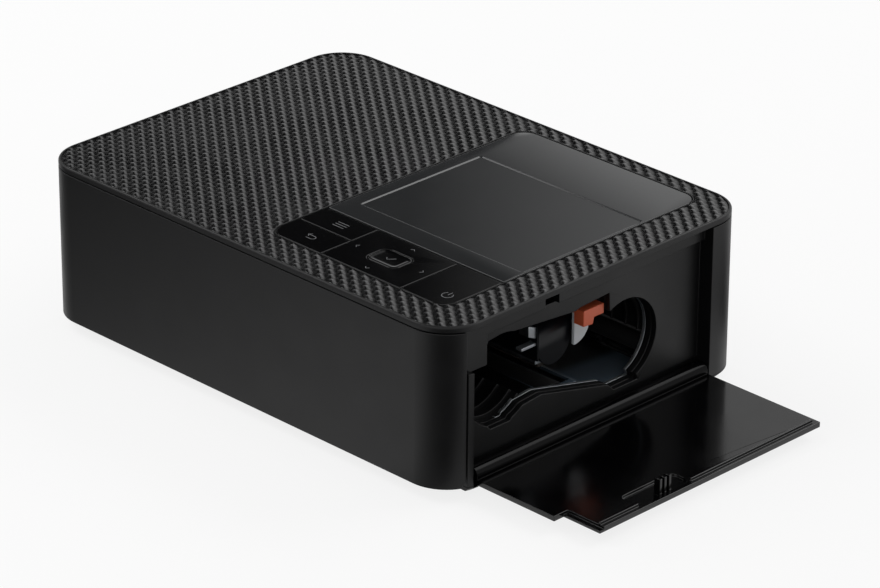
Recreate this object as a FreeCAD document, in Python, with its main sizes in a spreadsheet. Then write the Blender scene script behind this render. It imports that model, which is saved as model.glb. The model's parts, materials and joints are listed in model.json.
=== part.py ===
import FreeCAD, Part
import math
import os
import Sketcher
from types import SimpleNamespace

# Compact photo printer, in millimetres. X runs to the right along the front face, Y to the rear,
# Z up. The origin is on the table, under the middle of the case.

doc = FreeCAD.newDocument("photo_printer")
sheet = doc.addObject("Spreadsheet::Sheet", "sizes")

# Driving sizes, one group for each part of the printer.
SIZES = {
    # Case
    "case_width": 182.2, "case_depth": 133.0, "total_height": 57.6, "case_corner": 14.0,
    "foot_drop": 2.4, "base_thickness": 1.5, "base_chamfer": 1.0, "wall": 2.2,
    "cover_thickness": 2.0, "seam": 0.4, "fit_gap": 0.3, "running_gap": 0.05, "overrun": 1.0,
    "lip_height": 2.5, "lip_thickness": 1.5,
    # Recess and bay in the right side
    "recess_front": -54.7, "recess_rear": 49.5, "band_depth": 3.5, "panel_depth": 5.3,
    "band_height": 5.1, "tab_rear": -46.1, "tab_height": 15.2, "notch_height": 13.8,
    "right_wall_inner": 83.8, "trough_depth": 5.9, "trough_height": 5.7,
    "front_lobe_y": -38.0, "bay_span": 54.0, "bay_floor": 11.05, "bay_height": 35.85,
    "front_lobe_radius": 15.0, "rear_lobe_radius": 14.2, "front_lobe_z": 31.9, "rear_lobe_z": 26.0,
    "surround_thickness": 2.5, "surround_margin": 3.0,
    # Ribbon door
    "door_thickness": 1.8, "door_barrel": 2.75, "door_axis_z": 6.35, "door_reach": 48.95,
    "door_front": -53.3, "door_rear": 49.1, "door_pin": 1.1, "door_pin_length": 1.2,
    "door_notch_length": 14.6, "door_notch_width": 4.1, "door_scoop_width": 1.8,
    "trough_floor": 0.8,
    "door_rib_inset": 2.3, "door_rib_width": 0.8, "door_rib_height": 0.9,
    "catch_y": -18.4, "catch_pitch": 2.0, "catch_rib": 1.0, "catch_length": 2.5,
    "catch_inset": 2.3, "catch_height": 4.8, "catch_play": 0.4,
    "dish_front": -31.0, "dish_rear": -8.0, "dish_length": 7.0, "dish_depth": 0.8,
    # Front cover
    "front_joint_y": -57.2, "front_cover_wall": 2.0, "front_axis_y": -62.0, "front_axis_z": 7.1,
    "front_pin": 1.2, "front_ear_x": 67.0, "front_ear_width": 3.0, "front_ear_radius": 2.2,
    "front_flange": 1.2, "front_flange_depth": 5.9, "front_lug_width": 3.0, "front_lug_half": 1.5,
    "wrap_bevel_depth": 1.4,
    # Paper openings
    "paper_left": -30.0, "paper_right": 80.0, "front_slot_top": 19.0, "front_slot_bottom": 5.4,
    "rear_slot_bottom": 9.0, "rear_slot_top": 16.0,
    # Top opening, tray and display
    "panel_left": 0.6, "panel_right": 76.4, "panel_front": -53.0, "panel_rear": 59.0,
    "panel_corner": 5.5, "panel_sink": 0.2, "collar_thickness": 1.2, "collar_depth": 2.0,
    "cover_round": 0.6,
    "tray_thickness": 1.5, "tray_drop": 10.0, "key_line": -28.45, "display_front": -27.8,
    "display_drop": 6.6, "display_axis_y": -23.8, "display_axis_drop": 2.0, "display_pin": 0.6,
    "display_pin_length": 5.0, "glass_thickness": 1.0, "housing_wall": 1.4,
    "module_left": 7.0, "module_right": 72.5, "module_front": -17.5, "module_rear": 33.4,
    # Keys
    "key_gap": 0.3, "key_thickness": 2.2, "key_travel": 0.4, "key_column": 23.5, "key_column_right": 57.8,
    "key_row": -40.0, "ok_left": 34.6, "ok_right": 47.2, "ok_front": -45.3, "ok_rear": -36.0,
    "ok_corner": 2.4, "ok_rise": 0.1, "key_post": 1.6, "post_play": 0.1, "board_thickness": 1.0,
    "board_inset": 2.6,
    "switch_side": 4.6, "switch_height": 1.3, "pivot_outer": 4.6, "pivot_inner": 3.6,
    "menu_x": 12.9, "menu_y": -34.4, "back_y": -46.8, "power_x": 69.0, "power_y": -45.0,
    "direction_post_x": 13.5, "direction_post_y": 7.2,
    # Chassis
    "chassis_front": -52.8, "chassis_rear": 55.4, "chassis_sheet": 1.2, "left_plate_x": -34.0,
    "right_plate_front": -36.0,
    "right_plate_x": 80.1, "bridge_gap": 0.4, "bridge_front": -22.0, "bridge_rear": 12.0,
    "gear_plate_x": -41.6, "gear_plate_front": -20.0, "gear_plate_rear": 54.0,
    "gear_post": 2.2, "gear_post_inset": 3.4, "floor_gap": 0.1,
    # Rollers, as y, z and radius
    "platen_y": -6.0, "platen_z": 11.2, "platen_radius": 5.2, "platen_shaft": 2.0,
    "feed_y": 36.0, "feed_z": 8.8, "feed_radius": 3.0, "feed_shaft": 2.0,
    "pinch_z": 15.2, "pinch_radius": 3.0, "pinch_shaft": 1.5,
    "pick_y": -26.0, "pick_z": 14.4, "pick_radius": 4.4, "pick_shaft": 2.0,
    "pick_left": 15.0, "pick_right": 35.0, "roller_inset": 3.0, "shaft_overhang": 0.6,
    "guide_thickness": 1.0, "guide_high_z": 16.0, "guide_low_z": 10.8, "guide_play": 0.8,
    "guide_slope_end": 9.0, "shaft_end_gap": 0.1,
    # Thermal head
    "head_y": -6.0, "head_half": 7.2, "head_bottom": 22.4, "head_top": 41.0,
    "head_cheek": 2.0, "head_inset": 3.4, "cheek_rise": 0.4, "ceramic_thickness": 1.2, "ceramic_half": 5.0,
    "sink_half": 6.0, "head_plate": 1.2,
    "sink_base": 6.0, "fin_thickness": 1.2, "fin_pitch": 3.2, "fin_count": 4, "sink_top": 39.2,
    "tongue_half": 1.2, "tongue_bottom": 29.0, "tongue_top": 35.0, "rack_back": 1.6, "rack_teeth": 9,
    "lift_gear_z": 31.0,
    # Gears: tooth size and tooth counts
    "tooth_module": 0.6, "gear_width": 3.0, "gear_gap": 0.8, "tooth_play": 0.12,
    "feed_teeth": 12, "idler_teeth": 24, "pinion_teeth": 12, "takeup_teeth": 28,
    "ribbon_pinion_teeth": 12, "lift_teeth": 16, "gear_pin": 1.5,
    # Hubs
    "hub_radius": 4.0, "hub_length": 9.0, "hub_flange": 6.0, "hub_flange_width": 1.6,
    "hub_rib": 1.0, "rib_count": 3, "hub_shaft": 2.0, "hub_play": 0.4, "hub_tail": 2.0,
    # Motors
    "feed_motor_radius": 10.5, "feed_motor_length": 17.0, "ribbon_motor_radius": 10.0,
    "ribbon_motor_length": 24.0, "motor_shaft": 1.0, "motor_bore_depth": 6.0, "motor_hole": 1.6,
    # Eject lever
    "lever_front": -0.9, "lever_rear": 8.1, "lever_face": 84.2, "lever_bottom": 37.2,
    "lever_top": 41.2, "lever_foot": 5.5, "lever_arm_thickness": 2.4, "lever_axis_x": 60.0,
    "lever_hub": 2.2, "lever_pin": 1.0, "lever_ear": 1.5, "lever_ear_half": 3.0,
    "flag_thickness": 1.2, "flag_width": 6.4, "flag_drop": 9.6,
    # Fan
    "fan_y": 31.0, "fan_z": 28.5, "fan_side": 28.0, "fan_depth": 8.0, "fan_radius": 12.6,
    "fan_hub": 5.6, "fan_blades": 7, "blade_thickness": 1.0, "blade_half": 3.0, "fan_arm": 1.2,
    "fan_play": 0.5,
    "fan_axle": 1.0,
    # Boards and sockets
    "main_board_z": 10.0, "main_board_left": -86.0, "main_board_right": -44.5,
    "main_board_front": -46.0, "main_board_rear": 58.0, "pillar_radius": 2.4, "pillar_inset": 9.0,
    "card_y": -26.0, "card_width": 28.0, "card_depth": 26.0, "card_height": 5.6, "card_slot_width": 25.0,
    "card_slot_height": 4.4, "card_slot_depth": 22.0, "usb_y": 4.0, "usb_width": 14.4, "usb_height": 7.0,
    "usb_depth": 14.0,
    "usb_wall": 0.6, "usb_tongue": 1.6, "jack_x": -49.0, "jack_side": 10.0, "jack_depth": 14.0,
    "jack_bore": 3.1,
    "jack_bore_depth": 9.0,
    "jack_pin": 0.8, "cable_half": 5.0, "cable_thickness": 0.6, "cable_y": -41.0, "cable_x": -56.0,
    "cable_landing": 4.0,
    # Vents
    "vent_width": 2.0, "vent_pitch": 4.0, "vent_count": 7, "vent_bottom": 19.0, "vent_top": 38.0,
    "rear_vent_bottom": 26.0, "rear_vent_top": 42.0, "left_vent_y": 18.0, "rear_vent_x": -72.0,
    # Feet and screws
    "foot_radius": 6.0, "foot_inset_x": 18.0, "foot_inset_y": 17.0, "screw_head": 2.2,
    "screw_shank": 1.1, "screw_length": 9.0, "boss_radius": 2.1, "screw_sink": 0.6,
    "boss_left_x": -82.0, "boss_left_rear_y": 56.0, "boss_left_front_y": -45.0,
    "boss_right_x": 79.1, "boss_right_y": 58.9, "boss_middle_x": -41.0, "boss_middle_y": -49.6,
}
for row, (alias, value) in enumerate(SIZES.items(), start=1):
    sheet.set("A%d" % row, alias.replace("_", " "))
    sheet.set("B%d" % row, str(value))
    sheet.setAlias("B%d" % row, alias)
doc.recompute()


class Length:
    """A length that carries its expression in the sheet's names beside its present value."""

    def __init__(self, text, value):
        self.text = text
        self.value = value

    def joined(self, sign, other, value):
        return Length("(%s %s %s)" % (self.text, sign, length(other).text), value)

    def __add__(self, other):
        return self.joined("+", other, self.value + length(other).value)

    def __radd__(self, other):
        return length(other) + self

    def __sub__(self, other):
        return self.joined("-", other, self.value - length(other).value)

    def __rsub__(self, other):
        return length(other) - self

    def __mul__(self, other):
        return self.joined("*", other, self.value * length(other).value)

    def __rmul__(self, other):
        return length(other) * self

    def __truediv__(self, other):
        return self.joined("/", other, self.value / length(other).value)

    def __neg__(self):
        return Length("(-%s)" % self.text, -self.value)


def length(thing):
    """A plain number as a Length; a Length as it is."""
    return thing if isinstance(thing, Length) else Length(repr(float(thing)), float(thing))


dim = SimpleNamespace(**dict((alias, Length("sizes." + alias, float(sheet.get(alias)))) for alias in SIZES))
count = SimpleNamespace(**dict((alias, int(value)) for alias, value in SIZES.items() if alias.endswith(
    ("_count", "_teeth", "_blades"))))

# The sign of each sketch plane's normal along its axis.
PLANES = {"XY": 1, "XZ": -1, "YZ": 1}


def bind(thing, path, amount):
    """Set one property by an expression."""
    thing.setExpression(path, length(amount).text)


def new_body(name):
    body = doc.addObject("PartDesign::Body", name)
    body.Label = name
    return body


def sketch_on(body, plane, level):
    """An empty sketch parallel to one of the body's own origin planes."""
    sketch = body.newObject("Sketcher::SketchObject", "outline")
    support = [face for face in body.Origin.OriginFeatures if face.Role == plane + "_Plane"][0]
    sketch.AttachmentSupport = (support, [""])
    sketch.MapMode = "FlatFace"
    bind(sketch, "AttachmentOffset.Base.z", length(level) * PLANES[plane])
    return sketch


def hold(sketch, kind, references, amount):
    """Add one constraint whose size comes from the sheet."""
    index = sketch.addConstraint(Sketcher.Constraint(kind, *references, length(amount).value))
    label = "held_%d" % index
    sketch.renameConstraint(index, label)
    bind(sketch, "Constraints." + label, amount)


def draw_rectangle(sketch, box, radius=None):
    """A rectangle from its low and high sides, with round corners if a radius is given."""
    low_u, high_u, low_v, high_v = [length(side) for side in box]
    inset = radius.value if radius is not None else 0
    corners = [(low_u.value, low_v.value), (high_u.value, low_v.value),
               (high_u.value, high_v.value), (low_u.value, high_v.value)]
    steps = [(1, 0), (0, 1), (-1, 0), (0, -1)]
    for side in range(4):
        start, end, step = corners[side], corners[(side + 1) % 4], steps[side]
        sketch.addGeometry(Part.LineSegment(
            FreeCAD.Vector(start[0] + step[0] * inset, start[1] + step[1] * inset, 0),
            FreeCAD.Vector(end[0] - step[0] * inset, end[1] - step[1] * inset, 0)))
    for side in range(4):
        sketch.addConstraint(Sketcher.Constraint("Vertical" if side % 2 else "Horizontal", side))
        if radius is None:
            sketch.addConstraint(Sketcher.Constraint("Coincident", side, 2, (side + 1) % 4, 1))
            continue
        end, ahead, turn = corners[(side + 1) % 4], steps[side], steps[(side + 1) % 4]
        centre = FreeCAD.Vector(end[0] + (turn[0] - ahead[0]) * inset,
                                end[1] + (turn[1] - ahead[1]) * inset, 0)
        circle = Part.Circle(centre, FreeCAD.Vector(0, 0, 1), inset)
        quarter = math.pi / 2
        sketch.addGeometry(Part.ArcOfCircle(circle, (side - 1) * quarter, side * quarter))
        sketch.addConstraint(Sketcher.Constraint("Tangent", side, 2, 4 + side, 1))
        sketch.addConstraint(Sketcher.Constraint("Tangent", 4 + side, 2, (side + 1) % 4, 1))
        if side:
            sketch.addConstraint(Sketcher.Constraint("Equal", 4, 4 + side))
    if radius is not None:
        hold(sketch, "Radius", (4,), radius)
    hold(sketch, "DistanceY", (-1, 1, 0, 1), low_v)
    hold(sketch, "DistanceX", (-1, 1, 1, 1), high_u)
    hold(sketch, "DistanceY", (-1, 1, 2, 1), high_v)
    hold(sketch, "DistanceX", (-1, 1, 3, 1), low_u)


def draw_circle(sketch, centre, radius):
    u, v = [length(part) for part in centre]
    sketch.addGeometry(Part.Circle(FreeCAD.Vector(u.value, v.value, 0), FreeCAD.Vector(0, 0, 1),
                                   radius.value))
    hold(sketch, "Radius", (0,), radius)
    hold(sketch, "DistanceX", (-1, 1, 0, 3), u)
    hold(sketch, "DistanceY", (-1, 1, 0, 3), v)


def draw_outline(sketch, points):
    """A closed run of straight sides through points given as pairs of lengths."""
    points = [(length(u), length(v)) for u, v in points]
    total = len(points)
    for index, (u, v) in enumerate(points):
        ahead = points[(index + 1) % total]
        sketch.addGeometry(Part.LineSegment(FreeCAD.Vector(u.value, v.value, 0),
                                            FreeCAD.Vector(ahead[0].value, ahead[1].value, 0)))
    for index, (u, v) in enumerate(points):
        sketch.addConstraint(Sketcher.Constraint("Coincident", index, 2, (index + 1) % total, 1))
        hold(sketch, "DistanceX", (-1, 1, index, 1), u)
        hold(sketch, "DistanceY", (-1, 1, index, 1), v)


def extrude(body, plane, span, draw, cut):
    """Pad a drawing along the plane's axis over a span, or cut it from the body."""
    low, high = [length(end) for end in span]
    upward = PLANES[plane] > 0
    start = (high if upward else low) if cut else (low if upward else high)
    sketch = sketch_on(body, plane, start)
    draw(sketch)
    feature = body.newObject("PartDesign::Pocket" if cut else "PartDesign::Pad", "cut" if cut else "pad")
    feature.Profile = sketch
    bind(feature, "Length", high - low)
    return feature


def slab(body, plane, span, box, radius=None, cut=False):
    return extrude(body, plane, span, lambda sketch: draw_rectangle(sketch, box, radius), cut)


def disc(body, plane, span, centre, radius, cut=False):
    return extrude(body, plane, span, lambda sketch: draw_circle(sketch, centre, radius), cut)


def prism(body, plane, span, points, cut=False):
    return extrude(body, plane, span, lambda sketch: draw_outline(sketch, points), cut)


def row_of_copies(body, feature, direction, pitch, copies):
    """Repeat one feature along an axis of the body."""
    pattern = body.newObject("PartDesign::LinearPattern", "row_of_cuts")
    pattern.Originals = [feature]
    axis = [line for line in body.Origin.OriginFeatures if line.Role == direction + "_Axis"][0]
    pattern.Direction = (axis, [""])
    pattern.Occurrences = copies
    bind(pattern, "Length", pitch * (copies - 1))
    body.Tip = pattern
    return pattern


def block(name, box, radius=None):
    """A plain rectangular piece from its low and high X, Y and Z."""
    body = new_body(name)
    slab(body, "XY", box[4:6], box[0:4], radius)
    return body


# Places that several pieces share
half_width = dim.case_width / 2
half_depth = dim.case_depth / 2
base_top = dim.foot_drop + dim.base_thickness
cover_underside = dim.total_height - dim.cover_thickness
body_top = cover_underside - dim.seam
tray_low = dim.total_height - dim.tray_drop
display_low = dim.total_height - dim.display_drop
outline_box = (-half_width, half_width, -half_depth, half_depth)
band_x = half_width - dim.band_depth
bay_panel_x = half_width - dim.panel_depth
door_axis_x = half_width - dim.door_barrel
body_front = dim.front_joint_y + dim.seam
past_right = half_width + dim.overrun
inner_box = (-half_width + dim.wall, dim.right_wall_inner, body_front + dim.wall, half_depth - dim.wall)
inner_corner = dim.case_corner - dim.wall


def inset_box(box, gap):
    return (box[0] + gap, box[1] - gap, box[2] + gap, box[3] - gap)


# The outline between the two round lobes of the ribbon bay, as shares of the lobes' spacing and
# of the bay's height, clockwise from the upper left.
BAY_OUTLINE_SHARES = [
    (-0.109, 0.986), (0.0, 1.0), (0.072, 0.978), (0.585, 0.908), (0.626, 0.925), (0.863, 0.944),
    (0.869, 0.774), (1.0, 0.417), (1.119, 0.0), (0.919, 0.0), (0.870, 0.071), (0.324, 0.269),
    (0.117, 0.244), (0.072, 0.158), (-0.083, 0.158), (-0.209, 0.356), (-0.120, 0.780)]


def cut_bay(body, span):
    """Cut the ribbon bay's opening through a wall that is square to X."""
    points = [(dim.front_lobe_y + dim.bay_span * u, dim.bay_floor + dim.bay_height * v)
              for u, v in BAY_OUTLINE_SHARES]
    prism(body, "YZ", span, points, cut=True)
    disc(body, "YZ", span, (dim.front_lobe_y, dim.front_lobe_z), dim.front_lobe_radius, cut=True)
    rear_lobe = (dim.front_lobe_y + dim.bay_span, dim.rear_lobe_z)
    disc(body, "YZ", span, rear_lobe, dim.rear_lobe_radius, cut=True)


def edges_at(shape, test):
    """Names of the edges whose both ends pass a test on a point."""
    return ["Edge%d" % (index + 1) for index, edge in enumerate(shape.Edges)
            if all(test(vertex.Point) for vertex in edge.Vertexes)]


def dress(body, kind, base, edges, amount):
    """Bevel or round edges of the body's last feature."""
    feature = body.newObject("PartDesign::" + kind, kind.lower())
    feature.Base = (base, edges)
    bind(feature, "Size" if kind == "Chamfer" else "Radius", amount)
    body.Tip = feature
    return feature


def rod(name, axis, centre, span, radius):
    """A round bar along X, Y or Z as a plain cylinder; centre gives its two other places in XYZ order."""
    bar = doc.addObject("Part::Cylinder", name)
    bar.Label = name
    turns = {"X": (FreeCAD.Vector(0, 1, 0), 90), "Y": (FreeCAD.Vector(1, 0, 0), -90),
             "Z": (FreeCAD.Vector(0, 0, 1), 0)}
    bar.Placement = FreeCAD.Placement(FreeCAD.Vector(), FreeCAD.Rotation(*turns[axis]))
    places = dict(zip([letter for letter in "XYZ" if letter != axis], centre))
    places[axis] = span[0]
    for letter, place in places.items():
        bind(bar, "Placement.Base." + letter.lower(), place)
    bind(bar, "Radius", radius)
    bind(bar, "Height", length(span[1]) - length(span[0]))
    return bar


def joined(name, kind, pieces):
    """Several shapes as one: a fused solid, or a compound of separate solids."""
    whole = doc.addObject("Part::MultiFuse" if kind == "solid" else "Part::Compound", name)
    whole.Label = name
    if kind == "solid":
        whole.Shapes = pieces
    else:
        whole.Links = pieces
    return whole


def place_at(body, places):
    """Put a body that is modelled about its own origin at its place in the printer."""
    for letter, place in zip("xyz", places):
        bind(body, "Placement.Base." + letter, place)


# Base cover, with the lip that locates the body shell, screw bosses and board pillars
base = new_body("base_cover")
floor = slab(base, "XY", (dim.foot_drop, base_top), outline_box, dim.case_corner)
doc.recompute()
low_edges = edges_at(floor.Shape, lambda point: point.z < dim.foot_drop.value + dim.running_gap.value)
dress(base, "Chamfer", floor, low_edges, dim.base_chamfer)
slab(base, "XY", (dim.foot_drop, base_top), (-past_right, past_right, -half_depth - dim.overrun,
                                             body_front), cut=True)
lip_box = inset_box(inner_box, dim.floor_gap)
lip_corner = inner_corner - dim.floor_gap
lip_top = base_top + dim.lip_height
slab(base, "XY", (base_top, lip_top), lip_box, lip_corner)
slab(base, "XY", (base_top, lip_top), inset_box(lip_box, dim.lip_thickness),
     lip_corner - dim.lip_thickness, cut=True)
slab(base, "XY", (base_top, lip_top),
     (dim.right_wall_inner - inner_corner, past_right, body_front, body_front + dim.wall + inner_corner),
     cut=True)
slab(base, "XY", (dim.foot_drop + dim.trough_floor, base_top),
     (half_width - dim.trough_depth, past_right, dim.recess_front, dim.recess_rear), cut=True)
bosses = [(dim.boss_left_x, dim.boss_left_rear_y), (dim.boss_left_x, dim.boss_left_front_y),
          (dim.boss_right_x, dim.boss_right_y), (dim.boss_middle_x, dim.boss_middle_y)]
pillars = [(x, y) for x in (dim.main_board_left + dim.pillar_inset, dim.main_board_right - dim.pillar_inset)
           for y in (dim.main_board_front + dim.pillar_inset, dim.main_board_rear - dim.pillar_inset)]
for place in bosses:
    disc(base, "XY", (base_top, cover_underside), place, dim.boss_radius)
for place in pillars:
    disc(base, "XY", (base_top, dim.main_board_z), place, dim.pillar_radius)
screw_top = dim.foot_drop + dim.screw_length
for place in bosses:
    disc(base, "XY", (dim.foot_drop, screw_top), place, dim.screw_shank + dim.running_gap, cut=True)
    disc(base, "XY", (dim.foot_drop, dim.foot_drop + dim.screw_sink), place,
         dim.screw_head + dim.running_gap, cut=True)

# Rubber feet, one under the middle of the floor and one near each corner, and case screws
FOOT_SHARES = [(0, 0), (-1, -1), (-1, 1), (1, -1), (1, 1)]
foot_x, foot_y = half_width - dim.foot_inset_x, half_depth - dim.foot_inset_y
joined("rubber_feet", "group", [
    rod("foot", "Z", (across * foot_x, along * foot_y), (0, dim.foot_drop), dim.foot_radius)
    for across, along in FOOT_SHARES])
joined("case_screws", "group", [
    joined("screw", "solid", [
        rod("head", "Z", place, (dim.foot_drop, dim.foot_drop + dim.screw_sink), dim.screw_head),
        rod("shank", "Z", place, (dim.foot_drop, screw_top - dim.overrun), dim.screw_shank)])
    for place in bosses])

# Body shell
shell = new_body("body_shell")
slab(shell, "XY", (base_top, body_top), outline_box, dim.case_corner)
slab(shell, "XY", (base_top, body_top), (-past_right, past_right, -half_depth - dim.overrun, body_front),
     cut=True)
slab(shell, "XY", (base_top, body_top), inner_box, inner_corner, cut=True)
slab(shell, "XY", (base_top, body_top), (0, dim.right_wall_inner, inner_box[2], 0), cut=True)
recess = (dim.recess_front, dim.recess_rear)
strip_hollow = (dim.right_wall_inner - dim.overrun, half_width - dim.wall,
                dim.recess_rear + dim.wall, half_depth - dim.case_corner)
slab(shell, "XY", (base_top, body_top), strip_hollow, cut=True)
slab(shell, "XY", (base_top, body_top), (band_x, past_right) + recess, cut=True)
slab(shell, "XY", (body_top - dim.notch_height, body_top), (band_x, past_right, body_front - dim.overrun,
                                                            dim.recess_front), cut=True)
slab(shell, "XY", (base_top, body_top - dim.band_height),
     (bay_panel_x, past_right, dim.tab_rear, dim.recess_rear), cut=True)
slab(shell, "XY", (base_top, body_top - dim.tab_height), (bay_panel_x, past_right, dim.recess_front,
                                                          dim.tab_rear), cut=True)
slab(shell, "XY", (base_top, base_top + dim.trough_height),
     (half_width - dim.trough_depth, past_right) + recess, cut=True)
wall_span = (dim.right_wall_inner - dim.overrun, bay_panel_x + dim.overrun)
cut_bay(shell, wall_span)
catch_low = dim.door_axis_z + dim.door_reach - dim.catch_inset - dim.catch_length
latch_half = dim.catch_pitch + dim.catch_rib / 2 + dim.catch_play
slab(shell, "YZ", (dim.right_wall_inner - dim.overrun, past_right),
     (dim.catch_y - latch_half, dim.catch_y + latch_half,
      catch_low - dim.catch_play, catch_low + dim.catch_length + dim.catch_play), cut=True)
door_hole = dim.door_pin + dim.running_gap
pin_reach = dim.door_pin_length + dim.fit_gap
disc(shell, "XZ", (dim.door_front - pin_reach - dim.fit_gap, dim.recess_front + dim.overrun),
     (door_axis_x, dim.door_axis_z), door_hole, cut=True)
disc(shell, "XZ", (dim.recess_rear - dim.overrun, dim.door_rear + pin_reach),
     (door_axis_x, dim.door_axis_z),
     door_hole, cut=True)
front_wall_span = (body_front - dim.overrun, body_front + dim.wall + dim.overrun)
slab(shell, "XZ", front_wall_span,
     (dim.paper_left, dim.paper_right, dim.front_slot_bottom, dim.front_slot_top), cut=True)
rear_wall_span = (half_depth - dim.wall - dim.overrun, half_depth + dim.overrun)
slab(shell, "XZ", rear_wall_span,
     (dim.paper_left, dim.paper_right, dim.rear_slot_bottom, dim.rear_slot_top), cut=True)
board_top = dim.main_board_z + dim.board_thickness
jack_z = board_top + dim.jack_side / 2
disc(shell, "XZ", rear_wall_span, (dim.jack_x, jack_z), dim.jack_bore + dim.fit_gap, cut=True)
left_wall_span = (-half_width - dim.overrun, -half_width + dim.wall + dim.overrun)
card_z = board_top + dim.card_height / 2
slab(shell, "YZ", left_wall_span,
     (dim.card_y - dim.card_slot_width / 2, dim.card_y + dim.card_slot_width / 2,
      card_z - dim.card_slot_height / 2, card_z + dim.card_slot_height / 2), cut=True)
usb_z = board_top + dim.usb_height / 2
slab(shell, "YZ", left_wall_span,
     (dim.usb_y - dim.usb_width / 2, dim.usb_y + dim.usb_width / 2,
      usb_z - dim.usb_height / 2, usb_z + dim.usb_height / 2), cut=True)
left_vent = slab(shell, "YZ", left_wall_span,
                 (dim.left_vent_y, dim.left_vent_y + dim.vent_width, dim.vent_bottom, dim.vent_top),
                 cut=True)
row_of_copies(shell, left_vent, "Y", dim.vent_pitch, count.vent_count)
rear_vent = slab(shell, "XZ", rear_wall_span,
                 (dim.rear_vent_x, dim.rear_vent_x + dim.vent_width, dim.rear_vent_bottom,
                  dim.rear_vent_top), cut=True)
row_of_copies(shell, rear_vent, "X", dim.vent_pitch, count.vent_count)
ear_far = dim.front_ear_x + dim.front_ear_width
for low_x, high_x in ((dim.front_ear_x, ear_far), (-ear_far, -dim.front_ear_x)):
    disc(shell, "YZ", (low_x, high_x), (dim.front_axis_y, dim.front_axis_z), dim.front_ear_radius)
    slab(shell, "YZ", (low_x, high_x),
         (dim.front_axis_y, body_front + dim.wall / 2,
          dim.front_axis_z - dim.front_ear_radius, dim.front_axis_z + dim.front_ear_radius))
    disc(shell, "YZ", (low_x, high_x), (dim.front_axis_y, dim.front_axis_z),
         dim.front_pin + dim.running_gap, cut=True)

# Front cover, hinged at its foot on two pins
front = new_body("front_cover")
front_inner_y = -half_depth + dim.front_cover_wall
slab(front, "XY", (base_top, body_top), outline_box, dim.case_corner)
slab(front, "XY", (base_top, body_top), inset_box(outline_box, dim.front_cover_wall),
     dim.case_corner - dim.front_cover_wall, cut=True)
slab(front, "XY", (base_top, body_top), (-past_right, past_right, dim.front_joint_y,
                                         half_depth + dim.overrun), cut=True)
flange_x = half_width - dim.case_corner
slab(front, "XY", (base_top, base_top + dim.front_flange),
     (-flange_x, flange_x, front_inner_y - dim.front_cover_wall / 2,
      front_inner_y + dim.front_flange_depth))
prism(front, "YZ", (-past_right, past_right),
      [(dim.front_joint_y + dim.overrun, base_top), (dim.front_joint_y - dim.wrap_bevel_depth, base_top),
       (dim.front_joint_y, dim.front_axis_z), (dim.front_joint_y + dim.overrun, dim.front_axis_z)],
       cut=True)
for side in (-1, 1):
    near, far = side * dim.front_ear_x, side * ear_far
    slot = (near - dim.seam, far + dim.seam) if side > 0 else (far - dim.seam, near + dim.seam)
    slab(front, "XY", (base_top, base_top + dim.front_flange),
         slot + (front_inner_y, front_inner_y + dim.front_flange_depth + dim.overrun), cut=True)
    lug_low = far + dim.fit_gap if side > 0 else far - dim.fit_gap - dim.front_lug_width
    lug = (lug_low, lug_low + dim.front_lug_width)
    slab(front, "YZ", lug, (front_inner_y - dim.front_cover_wall / 2, dim.front_axis_y + dim.front_lug_half,
                            dim.front_axis_z - dim.front_lug_half, dim.front_axis_z + dim.front_lug_half))
    pin = (near + dim.fit_gap, lug[1]) if side > 0 else (lug[0], near - dim.fit_gap)
    disc(front, "YZ", pin, (dim.front_axis_y, dim.front_axis_z), dim.front_pin)

# Ribbon door, open as in the photograph
door = new_body("ribbon_door")
door_low = dim.door_axis_z - dim.door_barrel
door_top = door_low + dim.door_thickness
door_edge = door_axis_x + dim.door_reach
notch_x = door_edge - dim.door_notch_length
slab(door, "XY", (door_low, door_top), (door_axis_x, door_edge, dim.door_front, dim.door_rear))
disc(door, "XZ", (dim.door_front, dim.door_rear), (door_axis_x, dim.door_axis_z), dim.door_barrel)
slab(door, "XY", (door_low, door_top),
     (notch_x, door_edge + dim.overrun, dim.door_front - dim.overrun,
      dim.door_front + dim.door_notch_width), cut=True)
slab(door, "XY", (door_low + dim.door_thickness / 2, door_top),
     (notch_x, door_edge + dim.overrun, dim.door_front,
      dim.door_front + dim.door_notch_width + dim.door_scoop_width), cut=True)
rib_x = door_edge - dim.door_rib_inset
slab(door, "XY", (door_top, door_top + dim.door_rib_height),
     (rib_x, rib_x + dim.door_rib_width,
      dim.door_front + dim.door_notch_width + dim.door_scoop_width, dim.dish_front))
slab(door, "XY", (door_top, door_top + dim.door_rib_height),
     (rib_x, rib_x + dim.door_rib_width, dim.dish_rear, dim.door_rear - dim.door_scoop_width))
dish_x = door_edge - dim.door_rib_inset - dim.dish_length
slab(door, "XY", (door_top - dim.dish_depth, door_top),
     (dish_x, dish_x + dim.dish_length, dim.dish_front, dim.dish_rear), dim.dish_length / 3, cut=True)
catch_x = door_edge - dim.catch_inset - dim.catch_length
for index in (-1, 0, 1):
    rib_y = dim.catch_y + dim.catch_pitch * index
    slab(door, "XY", (door_top - dim.dish_depth, door_top + dim.catch_height),
         (catch_x, catch_x + dim.catch_length, rib_y - dim.catch_rib / 2, rib_y + dim.catch_rib / 2))
disc(door, "XZ", (dim.door_front - dim.door_pin_length, dim.door_front), (door_axis_x, dim.door_axis_z),
     dim.door_pin)
disc(door, "XZ", (dim.door_rear, dim.door_rear + dim.door_pin_length), (door_axis_x, dim.door_axis_z),
     dim.door_pin)

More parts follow.
